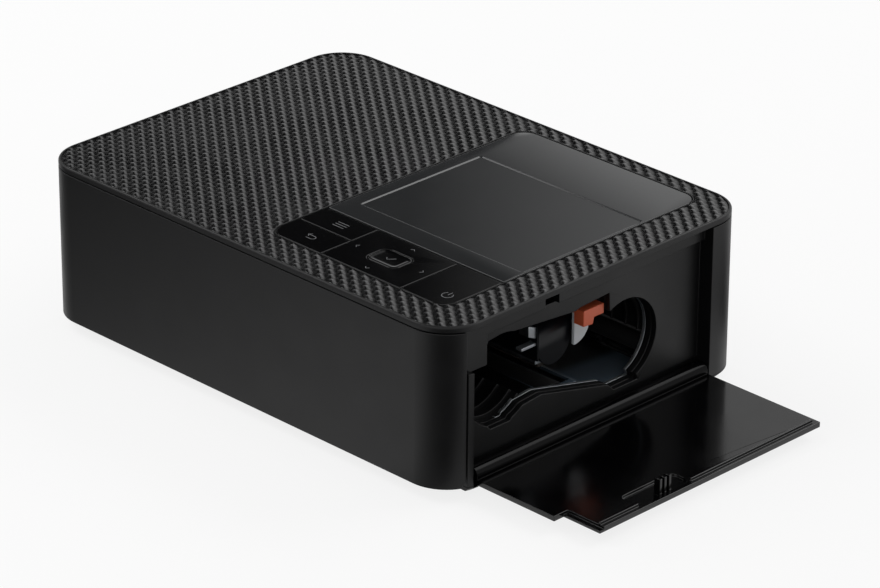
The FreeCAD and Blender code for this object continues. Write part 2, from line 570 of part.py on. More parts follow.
# Surround behind the ribbon bay's opening
surround_top = tray_low - dim.floor_gap
surround = new_body("bay_surround")
surround_span = (dim.right_wall_inner - dim.surround_thickness, dim.right_wall_inner)
slab(surround, "YZ", surround_span,
     (inner_box[2] + dim.floor_gap,
      dim.front_lobe_y + dim.bay_span + dim.rear_lobe_radius + dim.surround_margin,
      dim.bay_floor - dim.surround_margin, surround_top))
cut_bay(surround, surround_span)

# Top cover, with the collar that frames the control panel
panel_box = (dim.panel_left, dim.panel_right, dim.panel_front, dim.panel_rear)
opening_box = inset_box(panel_box, -dim.fit_gap)
collar_box = inset_box(opening_box, -dim.collar_thickness)
collar_bottom = cover_underside - dim.collar_depth
top = new_body("top_cover")
plate = slab(top, "XY", (cover_underside, dim.total_height), outline_box, dim.case_corner)
doc.recompute()
high_edges = edges_at(plate.Shape, lambda point: point.z > dim.total_height.value - dim.running_gap.value)
dress(top, "Fillet", plate, high_edges, dim.cover_round)
slab(top, "XY", (collar_bottom, cover_underside), collar_box,
     dim.panel_corner + dim.fit_gap + dim.collar_thickness)
slab(top, "XY", (collar_bottom, dim.total_height), opening_box, dim.panel_corner + dim.fit_gap, cut=True)
display_axis = (dim.display_axis_y, dim.total_height - dim.display_axis_drop)
display_hole = dim.display_pin + dim.running_gap
disc(top, "YZ", (collar_box[0] + dim.fit_gap, opening_box[0] + dim.overrun), display_axis, display_hole,
     cut=True)
disc(top, "YZ", (opening_box[1] - dim.overrun, collar_box[1] - dim.fit_gap), display_axis, display_hole,
     cut=True)

# Panel tray under the top opening
tray = new_body("panel_tray")
tray_floor = tray_low + dim.tray_thickness
slab(tray, "XY", (tray_low, collar_bottom), collar_box,
     dim.panel_corner + dim.fit_gap + dim.collar_thickness)
slab(tray, "XY", (tray_floor, collar_bottom), opening_box, dim.panel_corner + dim.fit_gap, cut=True)
cable_low = tray_floor + dim.board_thickness
slab(tray, "YZ", (collar_box[0] - dim.overrun, opening_box[0] + dim.overrun),
     (dim.cable_y - dim.cable_half - dim.fit_gap, dim.cable_y + dim.cable_half + dim.fit_gap,
      cable_low - dim.floor_gap, cable_low + dim.cable_thickness + dim.fit_gap), cut=True)

# Tilting display: housing, module, glass and its two pins
panel_top = dim.total_height - dim.panel_sink
glass_bottom = panel_top - dim.glass_thickness
housing = new_body("display_housing")
glass = new_body("display_glass")
for body, span in ((housing, (display_low, glass_bottom)), (glass, (glass_bottom, panel_top))):
    slab(body, "XY", span, panel_box, dim.panel_corner)
    slab(body, "XY", span, (dim.panel_left - dim.overrun, dim.panel_right + dim.overrun,
                            dim.panel_front - dim.overrun, dim.display_front), cut=True)
module_box = (dim.module_left, dim.module_right, dim.module_front, dim.module_rear)
module_low = display_low + dim.housing_wall
slab(housing, "XY", (module_low, glass_bottom), inset_box(module_box, -dim.floor_gap), cut=True)
block("display_module", module_box + (module_low, glass_bottom))
pin_inner = dim.display_pin_length - dim.collar_thickness
disc(housing, "YZ", (dim.panel_left - dim.overrun, dim.panel_left + pin_inner + dim.fit_gap),
     display_axis, display_hole, cut=True)
disc(housing, "YZ", (dim.panel_right - pin_inner - dim.fit_gap, dim.panel_right + dim.overrun),
     display_axis, display_hole, cut=True)
pin_outer = dim.collar_thickness - dim.fit_gap
joined("display_pins", "group", [
    rod("left_pin", "X", display_axis, (dim.panel_left - pin_outer, dim.panel_left + pin_inner),
        dim.display_pin),
    rod("right_pin", "X", display_axis, (dim.panel_right - pin_inner, dim.panel_right + pin_outer),
        dim.display_pin)])

# Keys: each is the part of the panel's outline inside its own limits, on a post above its switch
key_low = panel_top - dim.key_thickness
board_low = tray_floor
switch_low = board_low + dim.board_thickness
post_low = switch_low + dim.switch_height + dim.key_travel + dim.post_play
half_gap = dim.key_gap / 2
far_box = inset_box(panel_box, -dim.overrun)


def key(name, limits, posts):
    """A flush key; a limit of None leaves the panel's own edge."""
    body = new_body(name)
    span = (key_low, panel_top)
    slab(body, "XY", span, panel_box, dim.panel_corner)
    low_x, high_x, low_y, high_y = limits
    for limit, box in ((low_x, lambda edge: (far_box[0], edge, far_box[2], far_box[3])),
                       (high_x, lambda edge: (edge, far_box[1], far_box[2], far_box[3])),
                       (low_y, lambda edge: (far_box[0], far_box[1], far_box[2], edge)),
                       (high_y, lambda edge: (far_box[0], far_box[1], edge, far_box[3]))):
        if limit is not None:
            slab(body, "XY", span, box(limit), cut=True)
    for place in posts:
        disc(body, "XY", (post_low, key_low), place, dim.key_post)
    return body


ok_centre = ((dim.ok_left + dim.ok_right) / 2, (dim.ok_front + dim.ok_rear) / 2)
ok_box = (dim.ok_left, dim.ok_right, dim.ok_front, dim.ok_rear)
post_places = [(ok_centre[0] + side * dim.direction_post_x, ok_centre[1]) for side in (-1, 1)]
post_places += [(ok_centre[0], ok_centre[1] + side * dim.direction_post_y) for side in (-1, 1)]
key("menu_key", (None, dim.key_column - half_gap, dim.key_row + half_gap, dim.key_line),
    [(dim.menu_x, dim.menu_y)])
key("back_key", (None, dim.key_column - half_gap, None, dim.key_row - half_gap), [(dim.menu_x, dim.back_y)])
key("power_key", (dim.key_column_right + half_gap, None, None, dim.key_line), [(dim.power_x, dim.power_y)])
direction = key("direction_key", (dim.key_column + half_gap, dim.key_column_right - half_gap, None,
                                  dim.key_line),
                post_places)
slab(direction, "XY", (key_low, panel_top), inset_box(ok_box, -dim.key_gap), dim.ok_corner + dim.key_gap,
     cut=True)
ok_key = new_body("ok_key")
slab(ok_key, "XY", (key_low, panel_top + dim.ok_rise), ok_box, dim.ok_corner)
disc(ok_key, "XY", (post_low, key_low), ok_centre, dim.key_post)
pivot = new_body("direction_key_pivot")
pivot_span = (switch_low + dim.fit_gap, key_low - dim.key_travel - dim.fit_gap)
disc(pivot, "XY", pivot_span, ok_centre, dim.pivot_outer)
disc(pivot, "XY", pivot_span, ok_centre, dim.pivot_inner, cut=True)

# Control board with one switch under each key post
block("control_board", inset_box((dim.panel_left, dim.panel_right, dim.panel_front, dim.key_line),
                                 dim.board_inset)
      + (board_low, switch_low))
switch_places = [(dim.menu_x, dim.menu_y), (dim.menu_x, dim.back_y), (dim.power_x, dim.power_y),
                 ok_centre] + post_places
half_switch = dim.switch_side / 2


def box_piece(name, box):
    """A plain box from its low and high X, Y and Z."""
    piece = doc.addObject("Part::Box", name)
    for index, side in enumerate(("Length", "Width", "Height")):
        low, high = length(box[2 * index]), length(box[2 * index + 1])
        bind(piece, "Placement.Base." + "xyz"[index], low)
        bind(piece, side, high - low)
    return piece


joined("key_switches", "group", [
    box_piece("switch", (x - half_switch, x + half_switch, y - half_switch, y + half_switch,
                         switch_low, switch_low + dim.switch_height))
    for x, y in switch_places])

# Flat cable from the control board down to the main board
cable = new_body("panel_cable")
cable_high = cable_low + dim.cable_thickness
cable_inner = dim.cable_x + dim.cable_thickness
board_left = dim.panel_left + dim.board_inset
prism(cable, "XZ", (dim.cable_y - dim.cable_half, dim.cable_y + dim.cable_half),
      [(board_left + dim.cable_landing, cable_low), (board_left + dim.cable_landing, cable_high),
       (dim.cable_x, cable_high), (dim.cable_x, board_top), (cable_inner, board_top),
       (cable_inner, cable_low)])

# Chassis: base sheet, two side plates and the bridge that joins them
chassis_floor = base_top + dim.chassis_sheet
plate_top = tray_low - dim.bridge_gap - dim.chassis_sheet
left_span = (dim.left_plate_x - dim.chassis_sheet, dim.left_plate_x)
right_span = (dim.right_plate_x, dim.right_plate_x + dim.chassis_sheet)
gear_plate_span = (dim.gear_plate_x, dim.gear_plate_x + dim.chassis_sheet)
chassis_y = (dim.chassis_front, dim.chassis_rear)
block("chassis_base", (left_span[0], right_span[1]) + chassis_y + (base_top, chassis_floor))


def pitch_radius(teeth):
    return dim.tooth_module * teeth / 2


# Where the shafts stand, as Y and Z
DIAGONAL_SHARE = math.sqrt(2) / 2
TIP_SHARE = 0.8
ROOT_SHARE = 1.1
PRESSURE_ANGLE = math.radians(20)
platen_at = (dim.platen_y, dim.platen_z)
feed_at = (dim.feed_y, dim.feed_z)
pinch_at = (dim.feed_y, dim.pinch_z)
pick_at = (dim.pick_y, dim.pick_z)
supply_at = (dim.front_lobe_y, dim.front_lobe_z)
takeup_at = (dim.front_lobe_y + dim.bay_span, dim.rear_lobe_z)
idler_reach = (pitch_radius(dim.feed_teeth) + pitch_radius(dim.idler_teeth)) * DIAGONAL_SHARE
idler_at = (feed_at[0] + idler_reach, feed_at[1] + idler_reach)
pinion_at = (idler_at[0], idler_at[1] + pitch_radius(dim.idler_teeth) + pitch_radius(dim.pinion_teeth))
ribbon_pinion_at = (takeup_at[0],
                    takeup_at[1] + pitch_radius(dim.takeup_teeth) + pitch_radius(dim.ribbon_pinion_teeth))
rack_back_y = dim.head_y - dim.tongue_half
rack_root_y = rack_back_y + dim.rack_back
rack_line_y = rack_root_y + dim.tooth_module * ROOT_SHARE
lift_at = (rack_line_y + pitch_radius(dim.lift_teeth), dim.lift_gear_z)
head_lift = dim.head_bottom - dim.platen_z - dim.platen_radius - dim.fit_gap


def bore_all(body, span, places):
    """Running holes for shafts that are square to a plate."""
    for centre, radius in places:
        disc(body, "YZ", span, centre, radius + dim.running_gap, cut=True)


roller_shafts = [(platen_at, dim.platen_shaft), (feed_at, dim.feed_shaft),
                 (pinch_at, dim.pinch_shaft), (pick_at, dim.pick_shaft)]
gear_shafts = [(takeup_at, dim.hub_shaft), (idler_at, dim.gear_pin), (lift_at, dim.gear_pin)]
left_plate = new_body("left_side_plate")
slab(left_plate, "YZ", left_span, chassis_y + (chassis_floor, plate_top))
bore_all(left_plate, left_span, roller_shafts + gear_shafts + [(supply_at, dim.hub_shaft),
                                                               (pinion_at, dim.motor_hole)])
slab(left_plate, "YZ", left_span,
     (rack_back_y - dim.fit_gap, dim.head_y + dim.tongue_half + dim.fit_gap,
      dim.tongue_bottom - head_lift - dim.fit_gap, dim.tongue_top + dim.fit_gap), cut=True)
right_plate = new_body("right_side_plate")
slab(right_plate, "YZ", right_span, (dim.right_plate_front, dim.chassis_rear, chassis_floor, plate_top))
cut_bay(right_plate, right_span)
bore_all(right_plate, right_span, roller_shafts)
lever_axis_z = dim.lever_top - dim.lever_arm_thickness / 2
ear_span = (dim.lever_rear + dim.fit_gap, dim.lever_rear + dim.fit_gap + dim.lever_ear)
bridge = new_body("chassis_bridge")
slab(bridge, "XY", (plate_top, plate_top + dim.chassis_sheet),
     (left_span[0], right_span[1], dim.bridge_front, dim.bridge_rear))
slab(bridge, "XZ", ear_span,
     (dim.lever_axis_x - dim.lever_ear_half, dim.lever_axis_x + dim.lever_ear_half,
      lever_axis_z - dim.lever_ear_half, plate_top))
disc(bridge, "XZ", ear_span, (dim.lever_axis_x, lever_axis_z), dim.lever_pin, cut=True)

# Gearbox plate on four posts
gear_plate = new_body("gearbox_plate")
gear_plate_box = (dim.gear_plate_front, dim.gear_plate_rear, chassis_floor, plate_top)
slab(gear_plate, "YZ", gear_plate_span, gear_plate_box)
post_box = inset_box(gear_plate_box, dim.gear_post_inset)
for post_y in post_box[:2]:
    for post_z in post_box[2:]:
        disc(gear_plate, "YZ", (gear_plate_span[1], left_span[0]), (post_y, post_z), dim.gear_post)
bore_all(gear_plate, gear_plate_span, gear_shafts + [(feed_at, dim.feed_shaft),
                                                     (ribbon_pinion_at, dim.motor_hole)])

# Paper guide, with a window for the platen
guide = new_body("paper_guide")
guide_front = dim.pick_y + dim.pick_radius + dim.guide_play
guide_rear = dim.feed_y - dim.feed_radius - dim.guide_play
window_half = dim.platen_radius + dim.guide_play
guide_fold = dim.platen_y + window_half
guide_high = dim.guide_high_z - dim.guide_thickness
guide_low = dim.guide_low_z - dim.guide_thickness
prism(guide, "YZ", (dim.left_plate_x, dim.right_plate_x),
      [(guide_front, guide_high), (guide_fold, guide_high), (dim.guide_slope_end, guide_low),
       (guide_rear, guide_low),
       (guide_rear, dim.guide_low_z), (dim.guide_slope_end, dim.guide_low_z),
       (guide_fold, dim.guide_high_z), (guide_front, dim.guide_high_z)])
roller_span = (dim.left_plate_x + dim.roller_inset, dim.right_plate_x - dim.roller_inset)
slab(guide, "XY", (guide_high, dim.guide_high_z),
     (roller_span[0] - dim.guide_play, roller_span[1] + dim.guide_play,
      dim.platen_y - window_half, dim.platen_y + window_half), cut=True)

# Rollers on their shafts
shaft_left = left_span[0] - dim.shaft_overhang
shaft_right = right_span[1] - dim.shaft_end_gap
for name, centre, radius, shaft, span in (
        ("platen", platen_at, dim.platen_radius, dim.platen_shaft, roller_span),
        ("pinch", pinch_at, dim.pinch_radius, dim.pinch_shaft, roller_span),
        ("pickup", pick_at, dim.pick_radius, dim.pick_shaft, (dim.pick_left, dim.pick_right))):
    roller = new_body(name + "_roller")
    disc(roller, "YZ", span, centre, radius)
    disc(roller, "YZ", span, centre, shaft, cut=True)
    disc(new_body(name + "_shaft"), "YZ", (shaft_left, shaft_right), centre, shaft)
feed_roller = new_body("feed_roller")
disc(feed_roller, "YZ", (dim.gear_plate_x, shaft_right), feed_at, dim.feed_shaft)
disc(feed_roller, "YZ", roller_span, feed_at, dim.feed_radius)


# Gears, as involute outlines
def tooth_half(radius, pitch, thickness):
    """Half of a tooth's angle at a radius, from its thickness on the pitch circle."""
    base_circle = pitch * math.cos(PRESSURE_ANGLE)
    slope = math.acos(min(1, base_circle / radius))
    rolled = (math.tan(PRESSURE_ANGLE) - PRESSURE_ANGLE) - (math.tan(slope) - slope)
    return thickness / (2 * pitch) + rolled


def toothed_prism(teeth, centre, phase):
    """A gear square to X between the plates; phase is the angle of one tooth from Y towards Z."""
    size, steps = dim.tooth_module.value, 4
    pitch = size * teeth / 2
    base_circle = pitch * math.cos(PRESSURE_ANGLE)
    tip, root = pitch + size * TIP_SHARE, pitch - size * ROOT_SHARE
    thickness = math.pi * size / 2 - dim.tooth_play.value
    start = max(base_circle, root)
    flank = [start + (tip - start) * step / steps for step in range(steps + 1)]
    radii = ([root] if root < start else []) + flank
    points = []
    for index in range(teeth):
        middle = phase + 2 * math.pi * index / teeth
        for side, order in ((-1, radii), (1, radii[::-1])):
            for radius in order:
                angle = middle + side * tooth_half(max(radius, start), pitch, thickness)
                points.append(FreeCAD.Vector(gear_span[0].value, centre[0].value + radius * math.cos(angle),
                                             centre[1].value + radius * math.sin(angle)))
    face = Part.Face(Part.makePolygon(points + points[:1]))
    return face.extrude(FreeCAD.Vector(dim.gear_width.value, 0, 0))


def shaft_piece(centre, radius, span):
    low, high = length(span[0]).value, length(span[1]).value
    return Part.makeCylinder(radius.value, high - low,
                             FreeCAD.Vector(low, centre[0].value, centre[1].value),
                             FreeCAD.Vector(1, 0, 0))


def mating_phase(angle, phase, teeth, mate_teeth):
    """Phase of a second gear, in mesh with a first one, that stands at an angle from it."""
    half_pitch = math.pi / teeth
    return angle + math.pi + (half_pitch - (phase - angle)) * teeth / mate_teeth


def gear(name, shape):
    wheel = doc.addObject("Part::Feature", name)
    wheel.Label = name
    wheel.Shape = shape
    return wheel


gear_right = left_span[0] - dim.gear_gap
gear_span = (gear_right - dim.gear_width, gear_right)
pin_span = (dim.gear_plate_x, dim.left_plate_x - dim.shaft_end_gap)
upward, across = math.pi / 2, math.pi / 4
idler_phase = mating_phase(across, 0, count.feed_teeth, count.idler_teeth)
pinion_phase = mating_phase(upward, idler_phase, count.idler_teeth, count.pinion_teeth)
ribbon_phase = mating_phase(upward, 0, count.takeup_teeth, count.ribbon_pinion_teeth)
feed_bore = shaft_piece(feed_at, dim.feed_shaft, gear_span)
gear("feed_gear", toothed_prism(count.feed_teeth, feed_at, 0).cut(feed_bore))
gear("idler_gear", toothed_prism(count.idler_teeth, idler_at, idler_phase).fuse(
    shaft_piece(idler_at, dim.gear_pin, pin_span)))
feed_shaft_span = (gear_span[0], dim.left_plate_x + dim.motor_bore_depth)
gear("feed_pinion", toothed_prism(count.pinion_teeth, pinion_at, pinion_phase).fuse(
    shaft_piece(pinion_at, dim.motor_shaft, feed_shaft_span)))
gear("takeup_gear", toothed_prism(count.takeup_teeth, takeup_at, 0).cut(
    shaft_piece(takeup_at, dim.hub_shaft, gear_span)))
ribbon_shaft_span = (dim.gear_plate_x - dim.motor_bore_depth, gear_span[1])
gear("ribbon_pinion", toothed_prism(count.ribbon_pinion_teeth, ribbon_pinion_at, ribbon_phase).fuse(
    shaft_piece(ribbon_pinion_at, dim.motor_shaft, ribbon_shaft_span)))
gear("head_lift_gear", toothed_prism(count.lift_teeth, lift_at, 0).fuse(
    shaft_piece(lift_at, dim.gear_pin, pin_span)))


def rack_shape():
    """Straight teeth that face the lift gear; a space lies level with the gear's axis."""
    size = dim.tooth_module.value
    pitch, lean = math.pi * size, math.tan(PRESSURE_ANGLE)
    half = (pitch / 2 - dim.tooth_play.value) / 2
    root, line = rack_root_y.value, rack_line_y.value
    tip = line + size * TIP_SHARE
    below = round(head_lift.value / (2 * pitch) + count.rack_teeth / 2 - head_lift.value / pitch)
    low = dim.lift_gear_z.value - below * pitch
    high = low + count.rack_teeth * pitch
    outline = [(rack_back_y.value, high), (rack_back_y.value, low), (root, low)]
    for index in range(count.rack_teeth):
        middle = low + (index + 1 / 2) * pitch
        wide, narrow = half + (line - root) * lean, half - (tip - line) * lean
        outline += [(root, middle - wide), (tip, middle - narrow), (tip, middle + narrow),
                    (root, middle + wide)]
    outline.append((root, high))
    points = [FreeCAD.Vector(gear_span[0].value, y, z) for y, z in outline]
    face = Part.Face(Part.makePolygon(points + points[:1]))
    return face.extrude(FreeCAD.Vector(dim.gear_width.value, 0, 0))


gear("head_rack", rack_shape())


# Ribbon hubs
def polar_copies(body, feature, copies):
    """Repeat one feature round the body's own X axis."""
    pattern = body.newObject("PartDesign::PolarPattern", "ring_of_copies")
    pattern.Originals = [feature]
    pattern.Axis = ([line for line in body.Origin.OriginFeatures if line.Role == "X_Axis"][0], [""])
    pattern.Angle = 360
    pattern.Occurrences = copies
    body.Tip = pattern


def hub(name, at, shaft_end):
    body = new_body(name)
    face = dim.left_plate_x + dim.hub_play
    flange_end = face + dim.hub_flange_width
    disc(body, "YZ", (face, flange_end), (0, 0), dim.hub_flange)
    disc(body, "YZ", (shaft_end, face), (0, 0), dim.hub_shaft)
    disc(body, "YZ", (flange_end, face + dim.hub_length), (0, 0), dim.hub_radius)
    rib = slab(body, "YZ", (flange_end, face + dim.hub_length - dim.hub_tail),
               (-dim.hub_rib / 2, dim.hub_rib / 2, 0, dim.hub_radius + dim.hub_rib))
    polar_copies(body, rib, count.rib_count)
    place_at(body, (0,) + at)


hub("takeup_hub", takeup_at, dim.gear_plate_x)
hub("supply_hub", supply_at, shaft_left)

# Motors
feed_motor = new_body("feed_motor")
disc(feed_motor, "YZ", (dim.left_plate_x, dim.left_plate_x + dim.feed_motor_length), pinion_at,
     dim.feed_motor_radius)
bore_all(feed_motor, (dim.left_plate_x, feed_shaft_span[1] + dim.fit_gap), [(pinion_at, dim.motor_shaft)])
ribbon_motor = new_body("ribbon_motor")
disc(ribbon_motor, "YZ", (dim.gear_plate_x - dim.ribbon_motor_length, dim.gear_plate_x), ribbon_pinion_at,
     dim.ribbon_motor_radius)
bore_all(ribbon_motor, (ribbon_shaft_span[0] - dim.fit_gap, dim.gear_plate_x),
         [(ribbon_pinion_at, dim.motor_shaft)])

# Thermal head
head_left, head_right = dim.left_plate_x + dim.head_inset, dim.right_plate_x - dim.head_inset
inner_head = (head_left + dim.head_cheek, head_right - dim.head_cheek)
ceramic_top = dim.head_bottom + dim.ceramic_thickness
block("thermal_head", inner_head + (dim.head_y - dim.ceramic_half, dim.head_y + dim.ceramic_half)
      + (dim.head_bottom, ceramic_top))
sink = new_body("head_heat_sink")
sink_box = (dim.head_y - dim.sink_half, dim.head_y + dim.sink_half)
slab(sink, "YZ", inner_head, sink_box + (ceramic_top, ceramic_top + dim.sink_base))
first_fin = dim.head_y - dim.fin_pitch * (dim.fin_count - 1) / 2 - dim.fin_thickness / 2
fin = slab(sink, "YZ", inner_head, (first_fin, first_fin + dim.fin_thickness, ceramic_top + dim.sink_base,
                                    dim.sink_top))
row_of_copies(sink, fin, "Y", dim.fin_pitch, count.fin_count)
bracket = new_body("head_bracket")
bracket_low = dim.head_bottom + dim.cheek_rise
slab(bracket, "YZ", (head_left, head_right), (dim.head_y - dim.head_half, dim.head_y + dim.head_half,
                                             bracket_low, dim.head_top))
slab(bracket, "YZ", inner_head, sink_box + (bracket_low, dim.head_top - dim.head_plate), cut=True)
slab(bracket, "YZ", (gear_span[1], head_left), (rack_back_y, dim.head_y + dim.tongue_half,
                                               dim.tongue_bottom, dim.tongue_top))

# Eject lever on its pin
lever = new_body("eject_lever")
lever_back = dim.lever_face - dim.lever_foot
arm_front = dim.head_y + dim.head_half + dim.guide_play
slab(lever, "YZ", (lever_back, dim.lever_face), (dim.lever_front, dim.lever_rear, dim.lever_bottom,
                                                 dim.lever_top))
slab(lever, "YZ", (dim.lever_axis_x, lever_back), (arm_front, dim.lever_rear,
                                                  dim.lever_top - dim.lever_arm_thickness, dim.lever_top))
slab(lever, "YZ", (lever_back, lever_back + dim.flag_thickness),
     (dim.lever_front, dim.lever_front + dim.flag_width, dim.lever_bottom - dim.flag_drop,
      dim.lever_bottom))
disc(lever, "XZ", (arm_front, dim.lever_rear), (dim.lever_axis_x, lever_axis_z), dim.lever_hub)
disc(lever, "XZ", (arm_front, dim.lever_rear), (dim.lever_axis_x, lever_axis_z),
     dim.lever_pin + dim.running_gap, cut=True)
rod("lever_pin", "Y", (dim.lever_axis_x, lever_axis_z), (arm_front, ear_span[1]), dim.lever_pin)

# Fan: a square housing with an axle on crossed arms, and a bladed impeller
fan_left = -half_width + dim.wall
fan_span = (fan_left, fan_left + dim.fan_depth)
arm_span = (fan_span[1] - dim.fan_arm, fan_span[1])
fan_at = (dim.fan_y, dim.fan_z)
half_fan = dim.fan_side / 2
fan = new_body("fan_housing")
slab(fan, "YZ", fan_span, (dim.fan_y - half_fan, dim.fan_y + half_fan, dim.fan_z - half_fan,
                           dim.fan_z + half_fan))
disc(fan, "YZ", fan_span, fan_at, dim.fan_radius + dim.fan_play, cut=True)
slab(fan, "YZ", arm_span, (dim.fan_y - half_fan, dim.fan_y + half_fan, dim.fan_z - dim.fan_arm,
                           dim.fan_z + dim.fan_arm))
slab(fan, "YZ", arm_span, (dim.fan_y - dim.fan_arm, dim.fan_y + dim.fan_arm, dim.fan_z - half_fan,
                           dim.fan_z + half_fan))
disc(fan, "YZ", (fan_left + dim.overrun, fan_span[1]), fan_at, dim.fan_axle)
impeller = new_body("fan_impeller")
impeller_span = (fan_left + dim.fan_play, arm_span[0] - dim.fan_play)
disc(impeller, "YZ", impeller_span, (0, 0), dim.fan_hub)
blade = prism(impeller, "XY", (dim.fan_hub / 2, dim.fan_radius - dim.fan_play),
              [(impeller_span[0], -dim.blade_half), (impeller_span[0] + dim.blade_thickness,
                                                     -dim.blade_half),
               (impeller_span[1], dim.blade_half), (impeller_span[1] - dim.blade_thickness,
                                                    dim.blade_half)])
polar_copies(impeller, blade, count.fan_blades)
disc(impeller, "YZ", impeller_span, (0, 0), dim.fan_axle + dim.running_gap, cut=True)
place_at(impeller, (0,) + fan_at)

# Main board and its sockets
board = new_body("main_board")
board_span = (dim.main_board_z, board_top)
slab(board, "XY", board_span, (dim.main_board_left, dim.main_board_right, dim.main_board_front,
                               dim.main_board_rear))
notch_right = dim.boss_left_x + dim.boss_radius + dim.fit_gap
notch_front = dim.boss_left_front_y + dim.boss_radius + dim.fit_gap
notch_rear = dim.boss_left_rear_y - dim.boss_radius - dim.fit_gap
slab(board, "XY", board_span, (dim.main_board_left - dim.overrun, notch_right,
                               dim.main_board_front - dim.overrun, notch_front), cut=True)
slab(board, "XY", board_span, (dim.main_board_left - dim.overrun, notch_right,
                               notch_rear, dim.main_board_rear + dim.overrun), cut=True)
socket_left = -half_width + dim.wall + dim.floor_gap
card = new_body("card_slot")
half_card, half_slot = dim.card_width / 2, dim.card_slot_width / 2
slab(card, "YZ", (socket_left, socket_left + dim.card_depth),
     (dim.card_y - half_card, dim.card_y + half_card, board_top, board_top + dim.card_height))
slab(card, "YZ", (socket_left, socket_left + dim.card_slot_depth),
     (dim.card_y - half_slot, dim.card_y + half_slot,
      card_z - dim.card_slot_height / 2, card_z + dim.card_slot_height / 2), cut=True)
usb = new_body("usb_socket")
usb_box = (dim.usb_y - dim.usb_width / 2, dim.usb_y + dim.usb_width / 2, board_top,
           board_top + dim.usb_height)
slab(usb, "YZ", (socket_left, socket_left + dim.usb_depth), usb_box)
slab(usb, "YZ", (socket_left, socket_left + dim.usb_depth - dim.usb_wall),
     inset_box(usb_box, dim.usb_wall), cut=True)
usb_inner = inset_box(usb_box, dim.usb_wall)
slab(usb, "YZ", (socket_left + dim.usb_wall, socket_left + dim.usb_depth - dim.usb_wall),
     usb_inner[:2] + (usb_inner[3] - dim.usb_tongue, usb_inner[3]))
jack = new_body("dc_jack")
jack_rear = half_depth - dim.wall - dim.floor_gap
slab(jack, "XZ", (jack_rear - dim.jack_depth, jack_rear),
     (dim.jack_x - dim.jack_side / 2, dim.jack_x + dim.jack_side / 2, board_top, board_top + dim.jack_side))
disc(jack, "XZ", (jack_rear - dim.jack_bore_depth, jack_rear), (dim.jack_x, jack_z), dim.jack_bore,
     cut=True)
disc(jack, "XZ", (jack_rear - dim.jack_bore_depth, jack_rear - dim.overrun), (dim.jack_x, jack_z),
     dim.jack_pin)

NODES = [
    "base_cover", "rubber_feet", "case_screws", "body_shell", "front_cover", "ribbon_door", "bay_surround",
    "top_cover", "panel_tray", "display_housing", "display_glass", "display_module", "display_pins",
    "menu_key", "back_key", "power_key", "direction_key", "direction_key_pivot", "ok_key",
    "control_board", "key_switches", "panel_cable", "chassis_base", "left_side_plate", "right_side_plate",
    "chassis_bridge", "gearbox_plate", "paper_guide", "platen_roller", "platen_shaft", "pinch_roller",
    "pinch_shaft", "pickup_roller", "pickup_shaft", "feed_roller", "feed_gear", "idler_gear", "feed_pinion",
    "takeup_gear", "ribbon_pinion", "head_lift_gear", "head_rack", "takeup_hub", "supply_hub",
    "feed_motor", "ribbon_motor", "thermal_head", "head_heat_sink", "head_bracket", "eject_lever",
    "lever_pin",
    "fan_housing", "fan_impeller", "main_board", "card_slot", "usb_socket", "dc_jack"]

# Check every object and write one file for each node
doc.recompute()
for thing in doc.Objects:
    if "Invalid" in thing.State or "Error" in thing.State:
        raise RuntimeError("%s did not build: %s" % (thing.Label, thing.State))
os.makedirs("parts", exist_ok=True)
for node in NODES:
    shape = doc.getObject(node).Shape
    if shape.isNull() or not shape.isValid():
        raise RuntimeError("%s has no valid shape" % node)
    shape.exportStep("parts/%s.step" % node)
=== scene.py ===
import json
import math

import bmesh
import bpy
import numpy as np
from bpy.props import FloatProperty, FloatVectorProperty, PointerProperty
from mathutils import Matrix, Vector


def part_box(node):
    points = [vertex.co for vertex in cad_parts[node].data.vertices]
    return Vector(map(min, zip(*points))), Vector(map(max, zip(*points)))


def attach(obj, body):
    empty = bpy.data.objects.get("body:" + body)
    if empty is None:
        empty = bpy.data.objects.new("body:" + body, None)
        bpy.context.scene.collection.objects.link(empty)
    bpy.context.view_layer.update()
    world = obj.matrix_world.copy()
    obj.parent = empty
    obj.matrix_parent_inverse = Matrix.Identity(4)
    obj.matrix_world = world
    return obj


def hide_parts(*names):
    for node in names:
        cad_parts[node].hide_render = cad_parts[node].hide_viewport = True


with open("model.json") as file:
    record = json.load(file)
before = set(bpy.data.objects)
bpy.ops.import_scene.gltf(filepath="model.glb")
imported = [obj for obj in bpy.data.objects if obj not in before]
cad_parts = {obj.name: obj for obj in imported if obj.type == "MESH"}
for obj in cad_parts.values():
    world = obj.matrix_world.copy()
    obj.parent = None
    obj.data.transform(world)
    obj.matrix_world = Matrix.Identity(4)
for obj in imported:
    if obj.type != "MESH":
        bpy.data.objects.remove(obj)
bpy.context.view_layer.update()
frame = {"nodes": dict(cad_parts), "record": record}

bl_info = {
    "name": "Photo Printer Dresser",
    "version": (1, 0, 0),
    "blender": (4, 5, 0),
    "location": "View3D > Sidebar > Printer",
    "description": "Dresses the packed compact photo printer with its surfaces, materials and studio",
    "category": "Object",
}

MM = 0.001
NODES = frame["nodes"]
BODY_OF = {node: body for body, members in frame["record"]["behaviour"]["bodies"].items() for node in members}


def linear(code):
    """An sRGB hex colour as linear red, green, blue and alpha."""
    shares = np.array([int(code[start:start + 2], 16) for start in (0, 2, 4)]) / 255
    low, high = shares / 12.92, ((shares + 0.055) / 1.055) ** 2.4
    return tuple(np.where(shares <= 0.04045, low, high)) + (1.0,)


def size_of(name, description, millimetres):
    return FloatProperty(name=name, description=description, default=millimetres * MM, unit="LENGTH",
                         precision=5)


def colour_of(name, description, code):
    return FloatVectorProperty(name=name, description=description, default=linear(code), subtype="COLOR",
                               size=4, min=0, max=1)


